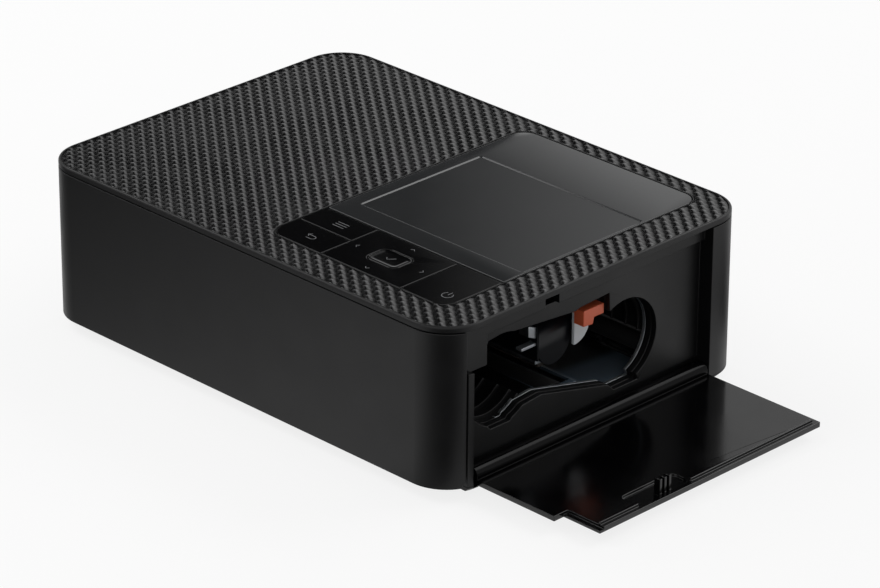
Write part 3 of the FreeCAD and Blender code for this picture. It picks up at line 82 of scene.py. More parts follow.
class PhotoPrinterSizes(bpy.types.PropertyGroup):
    weave_across: size_of("Weave across", "Width of one woven square along X", 2.588)
    weave_along: size_of("Weave along", "Width of one woven square along Y", 2.128)
    thread_crown: size_of("Thread crown", "Rise of each thread's round back", 0.15)
    thread_wave: size_of("Thread wave", "Height of the ribs that the upper threads form", 0.25)
    rim_width: size_of("Rim width", "Plain margin round the woven cover", 0.85)
    rim_round: size_of("Rim round", "Radius of the cover's upper edge", 0.75)
    window_step: size_of("Window step", "Depth of the display window in its glass", 0.3)
    window_bevel: size_of("Window bevel", "Width of the slope round the display window", 0.45)
    mark_width: size_of("Mark width", "Line width of the key marks", 0.24)


class PhotoPrinterColours(bpy.types.PropertyGroup):
    case: colour_of("Case", "Matt black case plastic", "070708")
    cover: colour_of("Woven cover", "Black plastic of the woven cover", "060607")
    inner: colour_of("Inside", "Black plastic inside the covers", "040405")
    panel: colour_of("Panel", "Gloss black of the keys", "030304")
    glass: colour_of("Glass", "Smoked display glass", "2b2c2d")
    marks: colour_of("Marks", "Grey print on the keys", "77787a")
    lever: colour_of("Lever", "Orange lever in the ribbon bay", "da6540")
    guide: colour_of("Guide", "Blue-grey paper guide", "4a5763")
    head: colour_of("Head", "Dark plastic of the head bracket", "0b0d11")
    hubs: colour_of("Hubs", "Grey ribbon hubs", "8d9094")


# Meshes

# Points nearer than this, in metres, are one point
MERGE_REACH = 2e-6
# The angle in degrees below which neighbouring faces of a CAD node are one flat face
FLAT_ANGLE = 0.4
# A merged flat face with more corners than this is cut into triangles before its edges are rounded
LARGEST_FACE = 30
# The smallest corner radius of a shrunk ring, and the sharp angle of lofted pieces, in degrees
LEAST_CORNER, LOFT_SHARP = 0.02, 18


def place(name, mesh, node, material, extra=()):
    """Link a finished mesh as a piece with one material that rides on a CAD node's body, and hide the CAD
    nodes that it replaces.
    """
    piece = bpy.data.objects.new(name, mesh)
    bpy.context.scene.collection.objects.link(piece)
    mesh.materials.clear()
    mesh.materials.append(material)
    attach(piece, BODY_OF[node])
    for replaced in extra:
        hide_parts(replaced)
    return piece


def tidy(mesh, sharp=32):
    """Merge doubles, turn faces outwards and shade smooth up to a sharp angle in degrees."""
    work = bmesh.new()
    work.from_mesh(mesh)
    bmesh.ops.remove_doubles(work, verts=work.verts, dist=MERGE_REACH)
    bmesh.ops.recalc_face_normals(work, faces=work.faces)
    work.to_mesh(mesh)
    work.free()
    mesh.shade_smooth()
    mesh.set_sharp_from_angle(angle=math.radians(sharp))
    return mesh


def rounded_box(box, radii, steps=10):
    """Points round a rectangle, anticlockwise from its low corner, with a quarter circle at each corner."""
    x0, x1, y0, y1 = box
    corners = np.array([(x0, y0), (x1, y0), (x1, y1), (x0, y1)])
    inward = np.array([(1, 1), (-1, 1), (-1, -1), (1, -1)])
    radius = np.broadcast_to(np.asarray(radii, float), (4,))[:, None, None]
    turn = (np.pi + np.arange(4)[:, None] * np.pi / 2) + np.linspace(0, np.pi / 2, steps)[None, :]
    centre = corners[:, None, :] + inward[:, None, :] * radius
    return (centre + radius * np.stack([np.cos(turn), np.sin(turn)], -1)).reshape(-1, 2)


def grown(box, by):
    return (box[0] - by, box[1] + by, box[2] - by, box[3] + by)


def ring_stack(box, radii, profile, steps=10):
    """One ring for each profile pair (inset, height): the rounded box shrunk by the inset, at that height.
    The result is an array of rings, points and x, y, z in metres."""
    rings = []
    for inset, height in profile:
        corner = np.maximum(np.asarray(radii, float) - inset, LEAST_CORNER)
        flat = rounded_box(grown(box, -inset), corner, steps)
        rings.append(np.column_stack([flat, np.full(len(flat), height)]))
    return np.array(rings) * MM


def lofted(name, rings, loop=False):
    """Quads between neighbouring rings, with each ring closed on itself. A loop joins the last ring to the
    first; otherwise caps close both ends."""
    count, around = rings.shape[:2]
    index = np.arange(count * around).reshape(count, around)
    upper = np.roll(index, -1, axis=0) if loop else index[1:]
    lower = index if loop else index[:-1]
    quads = np.stack([lower, np.roll(lower, -1, axis=1), np.roll(upper, -1, axis=1), upper], -1)
    faces = quads.reshape(-1, 4).tolist()
    if not loop:
        faces += [index[0][::-1].tolist(), index[-1].tolist()]
    mesh = bpy.data.meshes.new(name)
    mesh.from_pydata(rings.reshape(-1, 3).tolist(), [], faces)
    return tidy(mesh, LOFT_SHARP)


def ribbons(name, strokes, width, low, high):
    """Flat raised lines: a section of the given width, from the low to the high level, is carried along each
    stroke's x, y points and closed at both ends."""
    points, faces, base = [], [], 0
    for path in strokes:
        path = np.asarray(path, float)
        ahead = np.gradient(path, axis=0)
        ahead /= np.linalg.norm(ahead, axis=1)[:, None]
        side = np.column_stack([-ahead[:, 1], ahead[:, 0]]) * width / 2
        section = [np.column_stack([path + sign * side, np.full(len(path), level)])
                   for sign, level in ((1, low), (1, high), (-1, high), (-1, low))]
        grid = np.stack(section, 1)
        index = base + np.arange(len(path) * 4).reshape(len(path), 4)
        turned = np.roll(index, -1, axis=1)
        faces += np.stack([index[:-1], turned[:-1], turned[1:], index[1:]], -1).reshape(-1, 4).tolist()
        faces += [index[0].tolist(), index[-1][::-1].tolist()]
        points.append(grid.reshape(-1, 3))
        base += len(path) * 4
    mesh = bpy.data.meshes.new(name)
    mesh.from_pydata((np.concatenate(points) * MM).tolist(), [], faces)
    return tidy(mesh)


def arc(centre, radius, start, end, steps=24):
    """Points on a circle between two angles in degrees."""
    turn = np.radians(np.linspace(start, end, steps))
    return np.column_stack([centre[0] + radius * np.cos(turn), centre[1] + radius * np.sin(turn)])


def softened(name, node, material, soft=0.0, sharp=32):
    """A merged copy of a CAD node with its edges rounded by soft millimetres, in the node's place."""
    mesh = NODES[node].data.copy()
    mesh.name = name
    work = bmesh.new()
    work.from_mesh(mesh)
    bmesh.ops.remove_doubles(work, verts=work.verts, dist=MERGE_REACH)
    bmesh.ops.dissolve_limit(work, angle_limit=math.radians(FLAT_ANGLE), verts=work.verts, edges=work.edges)
    bmesh.ops.triangulate(work, faces=[face for face in work.faces if len(face.verts) > LARGEST_FACE])
    work.to_mesh(mesh)
    work.free()
    mesh.shade_smooth()
    mesh.set_sharp_from_angle(angle=math.radians(sharp))
    piece = place(name, mesh, node, material, (node,))
    if soft:
        bevel = piece.modifiers.new("edges", "BEVEL")
        bevel.width = soft * MM
        bevel.segments = 2
        bevel.limit_method = "ANGLE"
        bevel.angle_limit = math.radians(sharp)
        bevel.use_clamp_overlap = False
        bevel.loop_slide = False
        bevel.miter_outer = "MITER_ARC"
        weigh = piece.modifiers.new("shading", "WEIGHTED_NORMAL")
        weigh.keep_sharp = False


# Materials

# Strength of the bump under moulded plastic and on metal, and metal's line pitch, patches and drift
PLASTIC_BUMP, METAL_BUMP = 0.6, 0.5
METAL_LINES, METAL_PATCH, METAL_SWING = 0.5, 6.0, 0.06
# Painted shade on the paper guide: its blue fades in out of painted black between these places along X, which
# lean with Y, and starts at these along Y, in millimetres; the black stands for the shade deep in the bay and
# before the head
GUIDE_SHADE_FADE, GUIDE_SHADE_LEAN, GUIDE_SHADE_START = (62.0, 66.0), -0.1, (-12.6, -12.4)
# The ribbon door's hinge barrel ends between these places along X and its lower side starts between these in
# Z; then the specular levels of the barrel and of the leaf
BARREL_END, BARREL_BACK, DOOR_SHINE = (92.5, 93.5), (5.2, 4.8), (0.08, 0.42)
# Most of the noise lies between these two levels
NOISE_SPAN = (0.3, 0.7)
# The finishes by name
FINISHES = {}


def add(tree, kind, sockets=(), **settings):
    """Add one shader node, set its options and fill or link its sockets."""
    node = tree.nodes.new("ShaderNode" + kind)
    for name, value in settings.items():
        setattr(node, name, value)
    for key, value in dict(sockets).items():
        if isinstance(value, bpy.types.NodeSocket):
            tree.links.new(value, node.inputs[key])
        else:
            node.inputs[key].default_value = value
    return node


def surface(name, sockets):
    """A new material with one Principled shader."""
    material = bpy.data.materials.new(name)
    material.use_nodes = True
    tree = material.node_tree
    tree.nodes.clear()
    shader = add(tree, "BsdfPrincipled", sockets)
    add(tree, "OutputMaterial", {"Surface": shader.outputs[0]})
    return material, tree, shader


def grain(tree, millimetres, stretch=(1, 1, 1), detail=2.0):
    """Noise in object space whose features are the given size, drawn out along an axis by stretch."""
    where = add(tree, "TexCoord").outputs["Object"]
    scaled = add(tree, "Mapping", {"Vector": where, "Scale": stretch})
    scale = 1 / (millimetres * MM)
    return add(tree, "TexNoise", {"Vector": scaled.outputs[0], "Scale": scale, "Detail": detail})


def varied(tree, shader, colour, roughness, shade, swing, patch=14.0):
    """Slow drift of colour and roughness over patches of the given size in millimetres."""
    drift = grain(tree, patch, detail=3.0).outputs[0]
    dark = tuple(part * (1 - shade) for part in colour[:3]) + (1,)
    light = tuple(min(1, part * (1 + shade)) for part in colour[:3]) + (1,)
    mixed = add(tree, "Mix", {0: drift, 6: dark, 7: light}, data_type="RGBA")
    tree.links.new(mixed.outputs[2], shader.inputs["Base Color"])
    spread = add(tree, "MapRange", {
        0: drift, 1: NOISE_SPAN[0], 2: NOISE_SPAN[1], 3: roughness - swing, 4: roughness + swing})
    tree.links.new(spread.outputs[0], shader.inputs["Roughness"])


def bumped(tree, shader, height, strength, distance_mm):
    bump = add(tree, "Bump", {"Height": height, "Strength": strength, "Distance": distance_mm * MM})
    tree.links.new(bump.outputs[0], shader.inputs["Normal"])


def moulded(name, colour, roughness, grain_mm=0.6, depth_mm=0.01, specular=0.5, shade=0.12, swing=0.04):
    """Moulded plastic: an even colour with slow drift, under the grain that the mould left."""
    material, tree, shader = surface(name, {"Specular IOR Level": specular})
    varied(tree, shader, colour, roughness, shade, swing)
    bumped(tree, shader, grain(tree, grain_mm).outputs[0], PLASTIC_BUMP, depth_mm)
    FINISHES[name] = material


def metal(name, colour, roughness, stretch, depth_mm=0.004, shade=0.1):
    """Bare or plated metal with fine lines along one axis."""
    material, tree, shader = surface(name, {"Metallic": 1.0})
    varied(tree, shader, colour, roughness, shade, METAL_SWING, METAL_PATCH)
    bumped(tree, shader, grain(tree, METAL_LINES, stretch).outputs[0], METAL_BUMP, depth_mm)
    FINISHES[name] = material


def passed(tree, value, limits):
    """0 before the first limit, 1 past the second one, even in between; limits in millimetres."""
    return add(tree, "MapRange", {0: value, 1: limits[0] * MM, 2: limits[1] * MM}).outputs[0]


def painted_bay_shade(material, black):
    """Painted shade: let the guide's colour fade to black away from the bay's mouth and in front of the head,
    where shade falls.
    """
    tree = material.node_tree
    base = tree.nodes["Principled BSDF"].inputs["Base Color"]
    spot = add(tree, "TexCoord").outputs["Object"]
    run = add(tree, "VectorMath", {0: spot, 1: (1.0, GUIDE_SHADE_LEAN, 0.0)}, operation="DOT_PRODUCT")
    out = passed(tree, run.outputs["Value"], GUIDE_SHADE_FADE)
    behind = passed(tree, add(tree, "SeparateXYZ", {0: spot}).outputs[1], GUIDE_SHADE_START)
    both = add(tree, "Math", {0: out, 1: behind}, operation="MULTIPLY").outputs[0]
    blend = add(tree, "Mix", {0: both, 6: black, 7: base.links[0].from_socket}, data_type="RGBA")
    tree.links.new(blend.outputs[2], base)


def dull_barrel(material):
    """Let the door's leaf shine and its hinge barrel stay dull on the upper side."""
    tree = material.node_tree
    spot = add(tree, "SeparateXYZ", {0: add(tree, "TexCoord").outputs["Object"]}).outputs
    past = passed(tree, spot[0], BARREL_END)
    under = passed(tree, spot[2], BARREL_BACK)
    leaf = add(tree, "Math", {0: past, 1: under}, operation="MAXIMUM").outputs[0]
    shine = add(tree, "MapRange", {0: leaf, 3: DOOR_SHINE[0], 4: DOOR_SHINE[1]}).outputs[0]
    tree.links.new(shine, tree.nodes["Principled BSDF"].inputs["Specular IOR Level"])


def make_finishes(colours):
    """Every finish on the printer, named for the real material and how its surface was made."""
    # Case: ABS from a spark-eroded mould. A fine even matt that only glows near grazing angles.
    # Its 0.1 mm grit is drawn at 0.5 mm so that it shows.
    moulded("spark_eroded_abs", colours.case, 0.45, 0.5, 0.012, specular=0.3)
    # Woven cover: ABS from a mould cut as a weave, whose polished thread backs catch the light on one flank.
    moulded("woven_abs", colours.cover, 0.24, 0.45, 0.006, specular=0.38, shade=0.2)
    # Covers' inner sides and trays: plain matt ABS, with soft sink marks.
    moulded("matt_inner_abs", colours.inner, 0.5, 0.7, 0.012, specular=0.3)
    # Keys: polished ABS that mirrors the room softly.
    moulded("polished_abs", colours.panel, 0.1, 2.5, 0.002, specular=0.2, shade=0.08, swing=0.02)
    # Display glass: smoked acrylic sheet, cast and flat, so its reflection is almost sharp.
    moulded("smoked_acrylic", colours.glass, 0.1, 9.0, 0.004, specular=0.42, shade=0.05, swing=0.02)
    # Marks: silk-screen ink with a slightly broken edge and no shine.
    moulded("screen_ink", colours.marks, 0.6, 0.3, 0.01, specular=0.3, shade=0.2)
    # Feet and rollers: nitrile rubber, ground, with a dusty black sheen.
    moulded("ground_nitrile", linear("1e1e1f"), 0.75, 0.4, 0.03, specular=0.25)
    # Chassis: zinc-plated sheet steel with faint rolling lines and a dull bloom.
    metal("zinc_plated_steel", linear("a9adb1"), 0.42, (0.1, 1, 1))
    # Shafts, pins and screws: ground steel with lines round the bar.
    metal("ground_steel", linear("b9babb"), 0.25, (1, 0.1, 0.1))
    # Heat sink: extruded aluminium, clear anodised, with lines along the extrusion.
    metal("anodised_aluminium", linear("aeb4ba"), 0.38, (0.04, 1, 1))
    # Paper guide: blue-grey ABS, satin, polished by passing paper.
    moulded("satin_guide_abs", colours.guide, 0.35, 0.8, 0.006)
    # Painted shade: the guide's blue turns to black deep in the bay and in front of the head, where shade
    # falls.
    painted_bay_shade(FINISHES["satin_guide_abs"], colours.inner)
    # Door: the case's ABS, polished on its inner side, so it mirrors the dark bay and then the bright room.
    moulded("satin_door_abs", colours.inner, 0.15, 0.8, 0.004, DOOR_SHINE[1])
    dull_barrel(FINISHES["satin_door_abs"])
    # Gears, head rack and the lever's hook: white acetal, waxy.
    moulded("white_acetal", linear("dde1e4"), 0.4, 0.9, 0.005, shade=0.05)
    # Ribbon hubs: grey acetal.
    moulded("grey_acetal", colours.hubs, 0.4, 0.9, 0.005)
    # Head bracket: glass-filled nylon, its fibres leave a dull mottled skin.
    moulded("glass_filled_nylon", colours.head, 0.35, 0.6, 0.02, specular=0.22, shade=0.3)
    # Thermal head: glazed alumina, coloured dark brown, glassy.
    moulded("glazed_alumina", linear("2c2621"), 0.15, 3.0, 0.002, shade=0.05)
    # Lever: orange-red acetal, satin from use.
    moulded("orange_acetal", colours.lever, 0.38, 0.9, 0.006, shade=0.1)
    # Circuit boards: green solder mask over copper, glossy with a faint ripple over the tracks.
    moulded("solder_mask", linear("1f5a3c"), 0.25, 1.4, 0.03, shade=0.3)
    # Switches: black phenolic, dry and matt.
    moulded("black_phenolic", linear("202021"), 0.6, 0.5, 0.015, specular=0.3)
    # Flat cable: white polyester ribbon, satin.
    moulded("polyester_ribbon", linear("d6d6d0"), 0.4, 1.0, 0.01, shade=0.06)
    # Display panel behind the glass: dark grey glass sheet.
    moulded("display_sheet", linear("26282b"), 0.2, 4.0, 0.002, shade=0.05)


# Stage

# Camera, as fitted to the photo's outline: its place in metres, the direction behind it, its turn and roll in
# degrees, and its lens and sensor in millimetres
CAMERA_PLACE = (0.92869, -0.91057, 0.63578)
CAMERA_BACK = (0.63748942, -0.64005178, 0.42888338)
CAMERA_TURN, CAMERA_ROLL = 44.885, 0.362
CAMERA_LENS, CAMERA_SENSOR = 185.9024, 36.0
CAMERA_REACH = (0.05, 50.0)
# Soft boxes: name, centre in metres, width, height and brightness of the lit face; all aim at one place
SOFT_BOXES = [
    ("left_box", (-0.98, -0.30, 0.98), 1.0, 0.7, 3.6),
    ("rear_box", (0.28, 0.98, 1.0), 1.0, 0.6, 3.0),
    ("front_box", (-0.2, -1.5, 0.9), 0.8, 0.8, 0.6)]
BOX_AIM = (0, 0, 0.04)
# World: its colour as a light, and as it is seen directly
WORLD_LIGHT, WORLD_SEEN = "a0a0a0", "ffffff"
# Floor: its glow and the share of it seen directly, and its paper's colour, roughness and patches
FLOOR_GLOW, FLOOR_SHARE = 1.03, 0.8
PAPER_COLOUR, PAPER_ROUGH, PAPER_PATCH = "f2f2f2", 0.9, 40.0
# Curved card: radius in metres, angles in degrees round and up with their number of points, and the direction
# that its glow follows
DOME_RADIUS, DOME_ROUND, DOME_UP, DOME_ALONG = 1.9, (55, 245, 39), (16.5, 88, 24), (0.707, 0.707, 0)
# The floor and the cards that lie on it: low and high X, low and high Y and height, in metres
FLOOR = (-6.0, 6.0, -6.0, 6.0, 0)
FRONT_CARD = (-0.7, 0.5, -0.6, -0.068, 0.001)
SIDE_CARD = (0.086, 0.14, 0.086, 0.17, 0.001)
# Stops of each card: the place along its direction in metres, and the level of its glow
DOME_STOPS = ((0.0, 0.03), (0.23, 0.75))
FRONT_STOPS = ((-0.22, 0.04), (-0.1, 0.4), (0.0, 0.8), (0.06, 0.9), (0.1, 0.0))
SIDE_STOPS = ((0.086, 0.6), (0.1, 0.0))


def aimed(centre, target):
    """The rotation that points a lamp or camera from its centre to a target."""
    return (Vector(target) - Vector(centre)).to_track_quat("-Z", "Y").to_matrix().to_4x4()


def seen_directly(tree):
    """1 for what the camera sees directly, in a mirror or through glass; 0 for what lights the object."""
    path = add(tree, "LightPath").outputs
    first = add(tree, "Math", {0: path["Is Camera Ray"], 1: path["Is Glossy Ray"]}, operation="MAXIMUM")
    every = add(tree, "Math", {0: first.outputs[0], 1: path["Is Transmission Ray"]}, operation="MAXIMUM")
    return every.outputs[0]


def sheet_of(name, corners, faces, material):
    """A sheet from its corners and faces, in one material."""
    mesh = bpy.data.meshes.new(name)
    mesh.from_pydata(corners, [], faces)
    mesh.materials.append(material)
    sheet = bpy.data.objects.new(name, mesh)
    bpy.context.scene.collection.objects.link(sheet)
    return sheet


def level_corners(x0, x1, y0, y1, height):
    return [(x0, y0, height), (x1, y0, height), (x1, y1, height), (x0, y1, height)]


def card(name, corners, faces, along, stops):
    """A card that only glossy rays meet. Its glow follows stops of place and level along a direction."""
    material = bpy.data.materials.new(name)
    material.use_nodes = True
    tree = material.node_tree
    tree.nodes.clear()
    where = add(tree, "TexCoord").outputs["Object"]
    run = add(tree, "VectorMath", {0: where, 1: along}, operation="DOT_PRODUCT")
    first, last = stops[0][0], stops[-1][0]
    share = add(tree, "MapRange", {0: run.outputs["Value"], 1: first, 2: last})
    shades = add(tree, "ValToRGB", {0: share.outputs[0]})
    elements = shades.color_ramp.elements
    for spot, level in stops[1:-1]:
        elements.new((spot - first) / (last - first))
    for element, (spot, level) in zip(elements, stops):
        element.color = (level, level, level, 1)
    glow = add(tree, "Emission", {"Color": shades.outputs[0]})
    add(tree, "OutputMaterial", {"Surface": glow.outputs[0]})
    sheet = sheet_of(name, corners, faces, material)
    sheet.visible_camera = False
    sheet.visible_diffuse = False
    sheet.visible_shadow = False
    sheet.visible_transmission = False


def place_camera(scene):
    """The camera, turned from a level one by its roll about its own line of sight."""
    lens = bpy.data.cameras.new("camera")
    lens.lens = CAMERA_LENS
    lens.sensor_width = CAMERA_SENSOR
    lens.clip_start, lens.clip_end = CAMERA_REACH
    camera = bpy.data.objects.new("camera", lens)
    scene.collection.objects.link(camera)
    turn, roll = math.radians(CAMERA_TURN), math.radians(CAMERA_ROLL)
    right, back = Vector((math.cos(turn), math.sin(turn), 0)), Vector(CAMERA_BACK)
    up = back.cross(right)
    across = right * math.cos(roll) + up * math.sin(roll)
    upward = up * math.cos(roll) - right * math.sin(roll)
    frame_of = Matrix((across, upward, back)).transposed().to_4x4()
    camera.matrix_world = Matrix.Translation(CAMERA_PLACE) @ frame_of
    scene.camera = camera


class PRINTER_OT_stage(bpy.types.Operator):
    """Build the pale floor, the soft boxes, the cards and the camera"""
    bl_idname = "photo_printer.stage"
    bl_label = "Stage"

    def execute(self, context):
        scene = context.scene
        scene.view_settings.view_transform = "Standard"
        world = bpy.data.worlds.new("studio")
        scene.world = world
        world.use_nodes = True
        tree = world.node_tree
        tree.nodes.clear()
        shade = add(tree, "Mix", {0: seen_directly(tree), 6: linear(WORLD_LIGHT), 7: linear(WORLD_SEEN)},
                    data_type="RGBA")
        back = add(tree, "Background", {"Color": shade.outputs[2], "Strength": 1.0})
        add(tree, "OutputWorld", {"Surface": back.outputs[0]})

        # Floor: white paper sweep, matt, with a faint fibre
        paper, tree, shader = surface("white_paper", {"Roughness": PAPER_ROUGH, "Specular IOR Level": 0.1})
        varied(tree, shader, linear(PAPER_COLOUR), PAPER_ROUGH, 0.01, 0.02, PAPER_PATCH)
        glow = add(tree, "Emission", {"Color": linear("ffffff"), "Strength": FLOOR_GLOW})
        share = add(tree, "Math", {0: seen_directly(tree), 1: FLOOR_SHARE}, operation="MULTIPLY")
        both = add(tree, "MixShader", {0: share.outputs[0], 1: shader.outputs[0], 2: glow.outputs[0]})
        output = [node for node in tree.nodes if node.type == "OUTPUT_MATERIAL"][0]
        tree.links.new(both.outputs[0], output.inputs["Surface"])
        one_face = [(0, 1, 2, 3)]
        sheet_of("floor", level_corners(*FLOOR), one_face, paper)

        # A dark curved card behind and over the printer, which leaves a white band above the horizon, one
        # lying before it, and a small one beside the open side's rear end
        across, away = np.radians(np.linspace(*DOME_ROUND)), np.radians(np.linspace(*DOME_UP))
        turn, lift = np.meshgrid(across, away)
        level = np.cos(lift)
        dome = DOME_RADIUS * np.stack([level * np.cos(turn), level * np.sin(turn), np.sin(lift)], -1)
        index = np.arange(turn.size).reshape(turn.shape)
        quads = np.stack([index[:-1, :-1], index[:-1, 1:], index[1:, 1:], index[1:, :-1]], -1).reshape(-1, 4)
        card("curved_card", dome.reshape(-1, 3).tolist(), quads.tolist(), DOME_ALONG, DOME_STOPS)
        card("front_card", level_corners(*FRONT_CARD), one_face, (1, 0, 0), FRONT_STOPS)
        card("side_card", level_corners(*SIDE_CARD), one_face, (0, 1, 0), SIDE_STOPS)

        for name, centre, width, height, level in SOFT_BOXES:
            lamp = bpy.data.lights.new(name, "AREA")
            lamp.shape = "RECTANGLE"
            lamp.size, lamp.size_y = width, height
            lamp.energy = level * math.pi * width * height
            box = bpy.data.objects.new(name, lamp)
            scene.collection.objects.link(box)
            box.matrix_world = Matrix.Translation(centre) @ aimed(centre, BOX_AIM)
        place_camera(scene)
        return {"FINISHED"}


# Woven cover

# Outline and corner radius of the case and of the panel's opening, and the cover's levels, in millimetres
CASE_BOX, CASE_CORNER = (-91.1, 91.1, -66.5, 66.5), 14.0
OPENING_BOX, OPENING_CORNER = (0.3, 76.7, -53.3, 59.3), 5.8
COVER_LOW, COVER_TOP, COLLAR_LOW = 55.6, 57.6, 53.6
# Collar round the opening: its wall and the flat on its top
COLLAR_WALL, COLLAR_FLAT = 1.2, 0.35
# Depth of the hidden step under rim and collar, the rim's hidden width and foot chamfer, and the drop of the
# collar's flat
HIDDEN_STEP, RIM_HIDDEN, COLLAR_DROP = 0.9, 0.12, 0.1
# The rim's inner slope, its reach and drop, and how far down its hidden wall starts
RIM_SLOPE, RIM_WALL = (0.08, 0.05), 0.3
# The collar's inner edge as pairs of inset and drop, its outer slope, and where its hidden wall stands
COLLAR_EDGE, COLLAR_SLOPE, COLLAR_OUT = ((0, 0.2), (-0.04, 0.05), (-0.12, 0)), (0.05, 0.15), 0.06
# How far the weave runs under rim and collar, where it starts to rise, over what width, and its least depth
FIELD_UNDERLAP, FIELD_START, FIELD_FADE, FIELD_BASE = 0.3, 0.1, 0.3, 0.3
# A corner of the weave's cells in X and Y, grid steps in a cell, and the sharp angle of the relief in degrees
WEAVE_PLACE, CELL_STEPS, WEAVE_SHARP = (-1.4, -0.42), 8, 50
# The fields reach this far past the case, so that their last cells are whole
FIELD_PAST = 3.0
# The rise of the arches between the ribs, as a share of the crown
LOW_SHARE = 0.4
# The power that narrows the ribs' cosine and widens the valleys between them
RIB_POWER = 1.5


def outside(box, corner, x, y):
    """Signed distance from a rounded box in millimetres, negative inside."""
    past_x = np.abs(x - (box[0] + box[1]) / 2) - (box[1] - box[0]) / 2 + corner
    past_y = np.abs(y - (box[2] + box[3]) / 2) - (box[3] - box[2]) / 2 + corner
    beyond = np.hypot(np.maximum(past_x, 0), np.maximum(past_y, 0))
    return beyond + np.minimum(np.maximum(past_x, past_y), 0) - corner


def weave(u, v, crown, wave):
    """Height of the weave. Ribs run along one diagonal of the cells, each a raised cosine across itself, to a
    power, wave high. Along a rib the threads' backs are arched, crown high, as the size of a cosine; between
    the ribs the lower arches come half a step later."""
    across, along = (u + v) / 2, (u - v) / 2
    share = ((1 + np.cos(2 * np.pi * across)) / 2) ** RIB_POWER
    over, under = np.abs(np.cos(np.pi * along)), np.abs(np.sin(np.pi * along)) * LOW_SHARE
    return wave * share + crown * (share * over + (1 - share) * under)


def woven_field(name, sizes, span_x, span_y):
    """The relief within X and Y limits: a grid in step with the weave, kept where it lies inside the rim and
    outside the collar, sunk where these cover it, with a flat underside."""
    across, along = sizes.weave_across / MM, sizes.weave_along / MM
    low_u, high_u = (math.floor((edge - WEAVE_PLACE[0]) / across) for edge in span_x)
    low_v, high_v = (math.floor((edge - WEAVE_PLACE[1]) / along) for edge in span_y)
    u, v = np.meshgrid(np.linspace(low_u, high_u, (high_u - low_u) * CELL_STEPS + 1),
                       np.linspace(low_v, high_v, (high_v - low_v) * CELL_STEPS + 1))
    x, y = WEAVE_PLACE[0] + u * across, WEAVE_PLACE[1] + v * along
    inset = -outside(CASE_BOX, CASE_CORNER, x, y) - sizes.rim_width / MM
    outset = outside(OPENING_BOX, OPENING_CORNER, x, y) - COLLAR_FLAT
    margin = np.minimum(inset, outset)
    crown, wave = sizes.thread_crown / MM, sizes.thread_wave / MM
    floor = COVER_TOP - crown - wave - FIELD_BASE
    lift = weave(u, v, crown, wave) + FIELD_BASE
    height = floor + lift * np.clip((margin + FIELD_START) / FIELD_FADE, 0, 1)
    kept = margin > -FIELD_UNDERLAP
    index = np.arange(x.size).reshape(x.shape)
    whole = kept[:-1, :-1] & kept[1:, :-1] & kept[:-1, 1:] & kept[1:, 1:]
    quads = np.stack([index[:-1, :-1], index[:-1, 1:], index[1:, 1:], index[1:, :-1]], -1)[whole]
    used, renumbered = np.unique(quads, return_inverse=True)
    points = np.column_stack([x.ravel(), y.ravel(), height.ravel()])[used] * MM
    mesh = bpy.data.meshes.new(name)
    mesh.from_pydata(points.tolist(), [], renumbered.reshape(quads.shape).tolist())
    work = bmesh.new()
    work.from_mesh(mesh)
    border = [edge for edge in work.edges if edge.is_boundary]
    wall = bmesh.ops.extrude_edge_only(work, edges=border)["geom"]
    foot = [part for part in wall if isinstance(part, bmesh.types.BMVert)]
    bmesh.ops.transform(work, matrix=Matrix.Diagonal((1, 1, 0, 1)), verts=foot)
    bmesh.ops.translate(work, vec=(0, 0, COVER_LOW * MM), verts=foot)
    bmesh.ops.holes_fill(work, edges=[edge for edge in work.edges if edge.is_boundary], sides=0)
    bmesh.ops.recalc_face_normals(work, faces=work.faces)
    work.to_mesh(mesh)
    work.free()
    mesh.shade_smooth()
    mesh.set_sharp_from_angle(angle=math.radians(WEAVE_SHARP))
    return mesh


class PRINTER_OT_woven_cover(bpy.types.Operator):
    """Build the woven top cover: rim, collar and the four fields of relief"""
    bl_idname = "photo_printer.woven_cover"
    bl_label = "Woven cover"

    def execute(self, context):
        sizes = context.scene.photo_printer_sizes
        skin = FINISHES["woven_abs"]
        bend, width = sizes.rim_round / MM, sizes.rim_width / MM
        turn = np.linspace(0, np.pi / 2, 7)
        inner = width + RIM_HIDDEN
        profile = [(RIM_HIDDEN, COVER_LOW), (0, COVER_LOW + RIM_HIDDEN)]
        profile += [(bend * (1 - math.cos(a)), COVER_TOP - bend + bend * math.sin(a)) for a in turn]
        profile += [(width, COVER_TOP), (width + RIM_SLOPE[0], COVER_TOP - RIM_SLOPE[1]),
                    (inner, COVER_TOP - RIM_WALL), (inner, COVER_TOP - HIDDEN_STEP), (inner, COVER_LOW)]
        rim = lofted("cover_rim", ring_stack(CASE_BOX, CASE_CORNER, profile, steps=16), loop=True)
        place("cover_rim", rim, "top_cover", FINISHES["spark_eroded_abs"], ("top_cover",))
        edge, flat, step = COLLAR_FLAT, COVER_TOP - COLLAR_DROP, COVER_TOP - HIDDEN_STEP
        profile = [(0, COLLAR_LOW)] + [(inset, flat - drop) for inset, drop in COLLAR_EDGE]
        profile += [(-edge, flat), (-edge - COLLAR_SLOPE[0], flat - COLLAR_SLOPE[1]),
                    (-edge - COLLAR_OUT, step), (-COLLAR_WALL, step), (-COLLAR_WALL, COLLAR_LOW)]
        collar = lofted("cover_collar", ring_stack(OPENING_BOX, OPENING_CORNER, profile, steps=12), loop=True)
        place("cover_collar", collar, "top_cover", FINISHES["spark_eroded_abs"])
        left, right, front, rear = CASE_BOX
        right, rear = right + FIELD_PAST, rear + FIELD_PAST
        for name, span_x, span_y in (
                ("woven_field_front", (left, 0), (front, 0)), ("woven_field_rear", (left, 0), (0, rear)),
                ("woven_field_right", (0, right), (front, 0)), ("woven_field_corner", (0, right), (0, rear))):
            place(name, woven_field(name, sizes, span_x, span_y), "top_cover", skin)
        return {"FINISHED"}


# Control panel

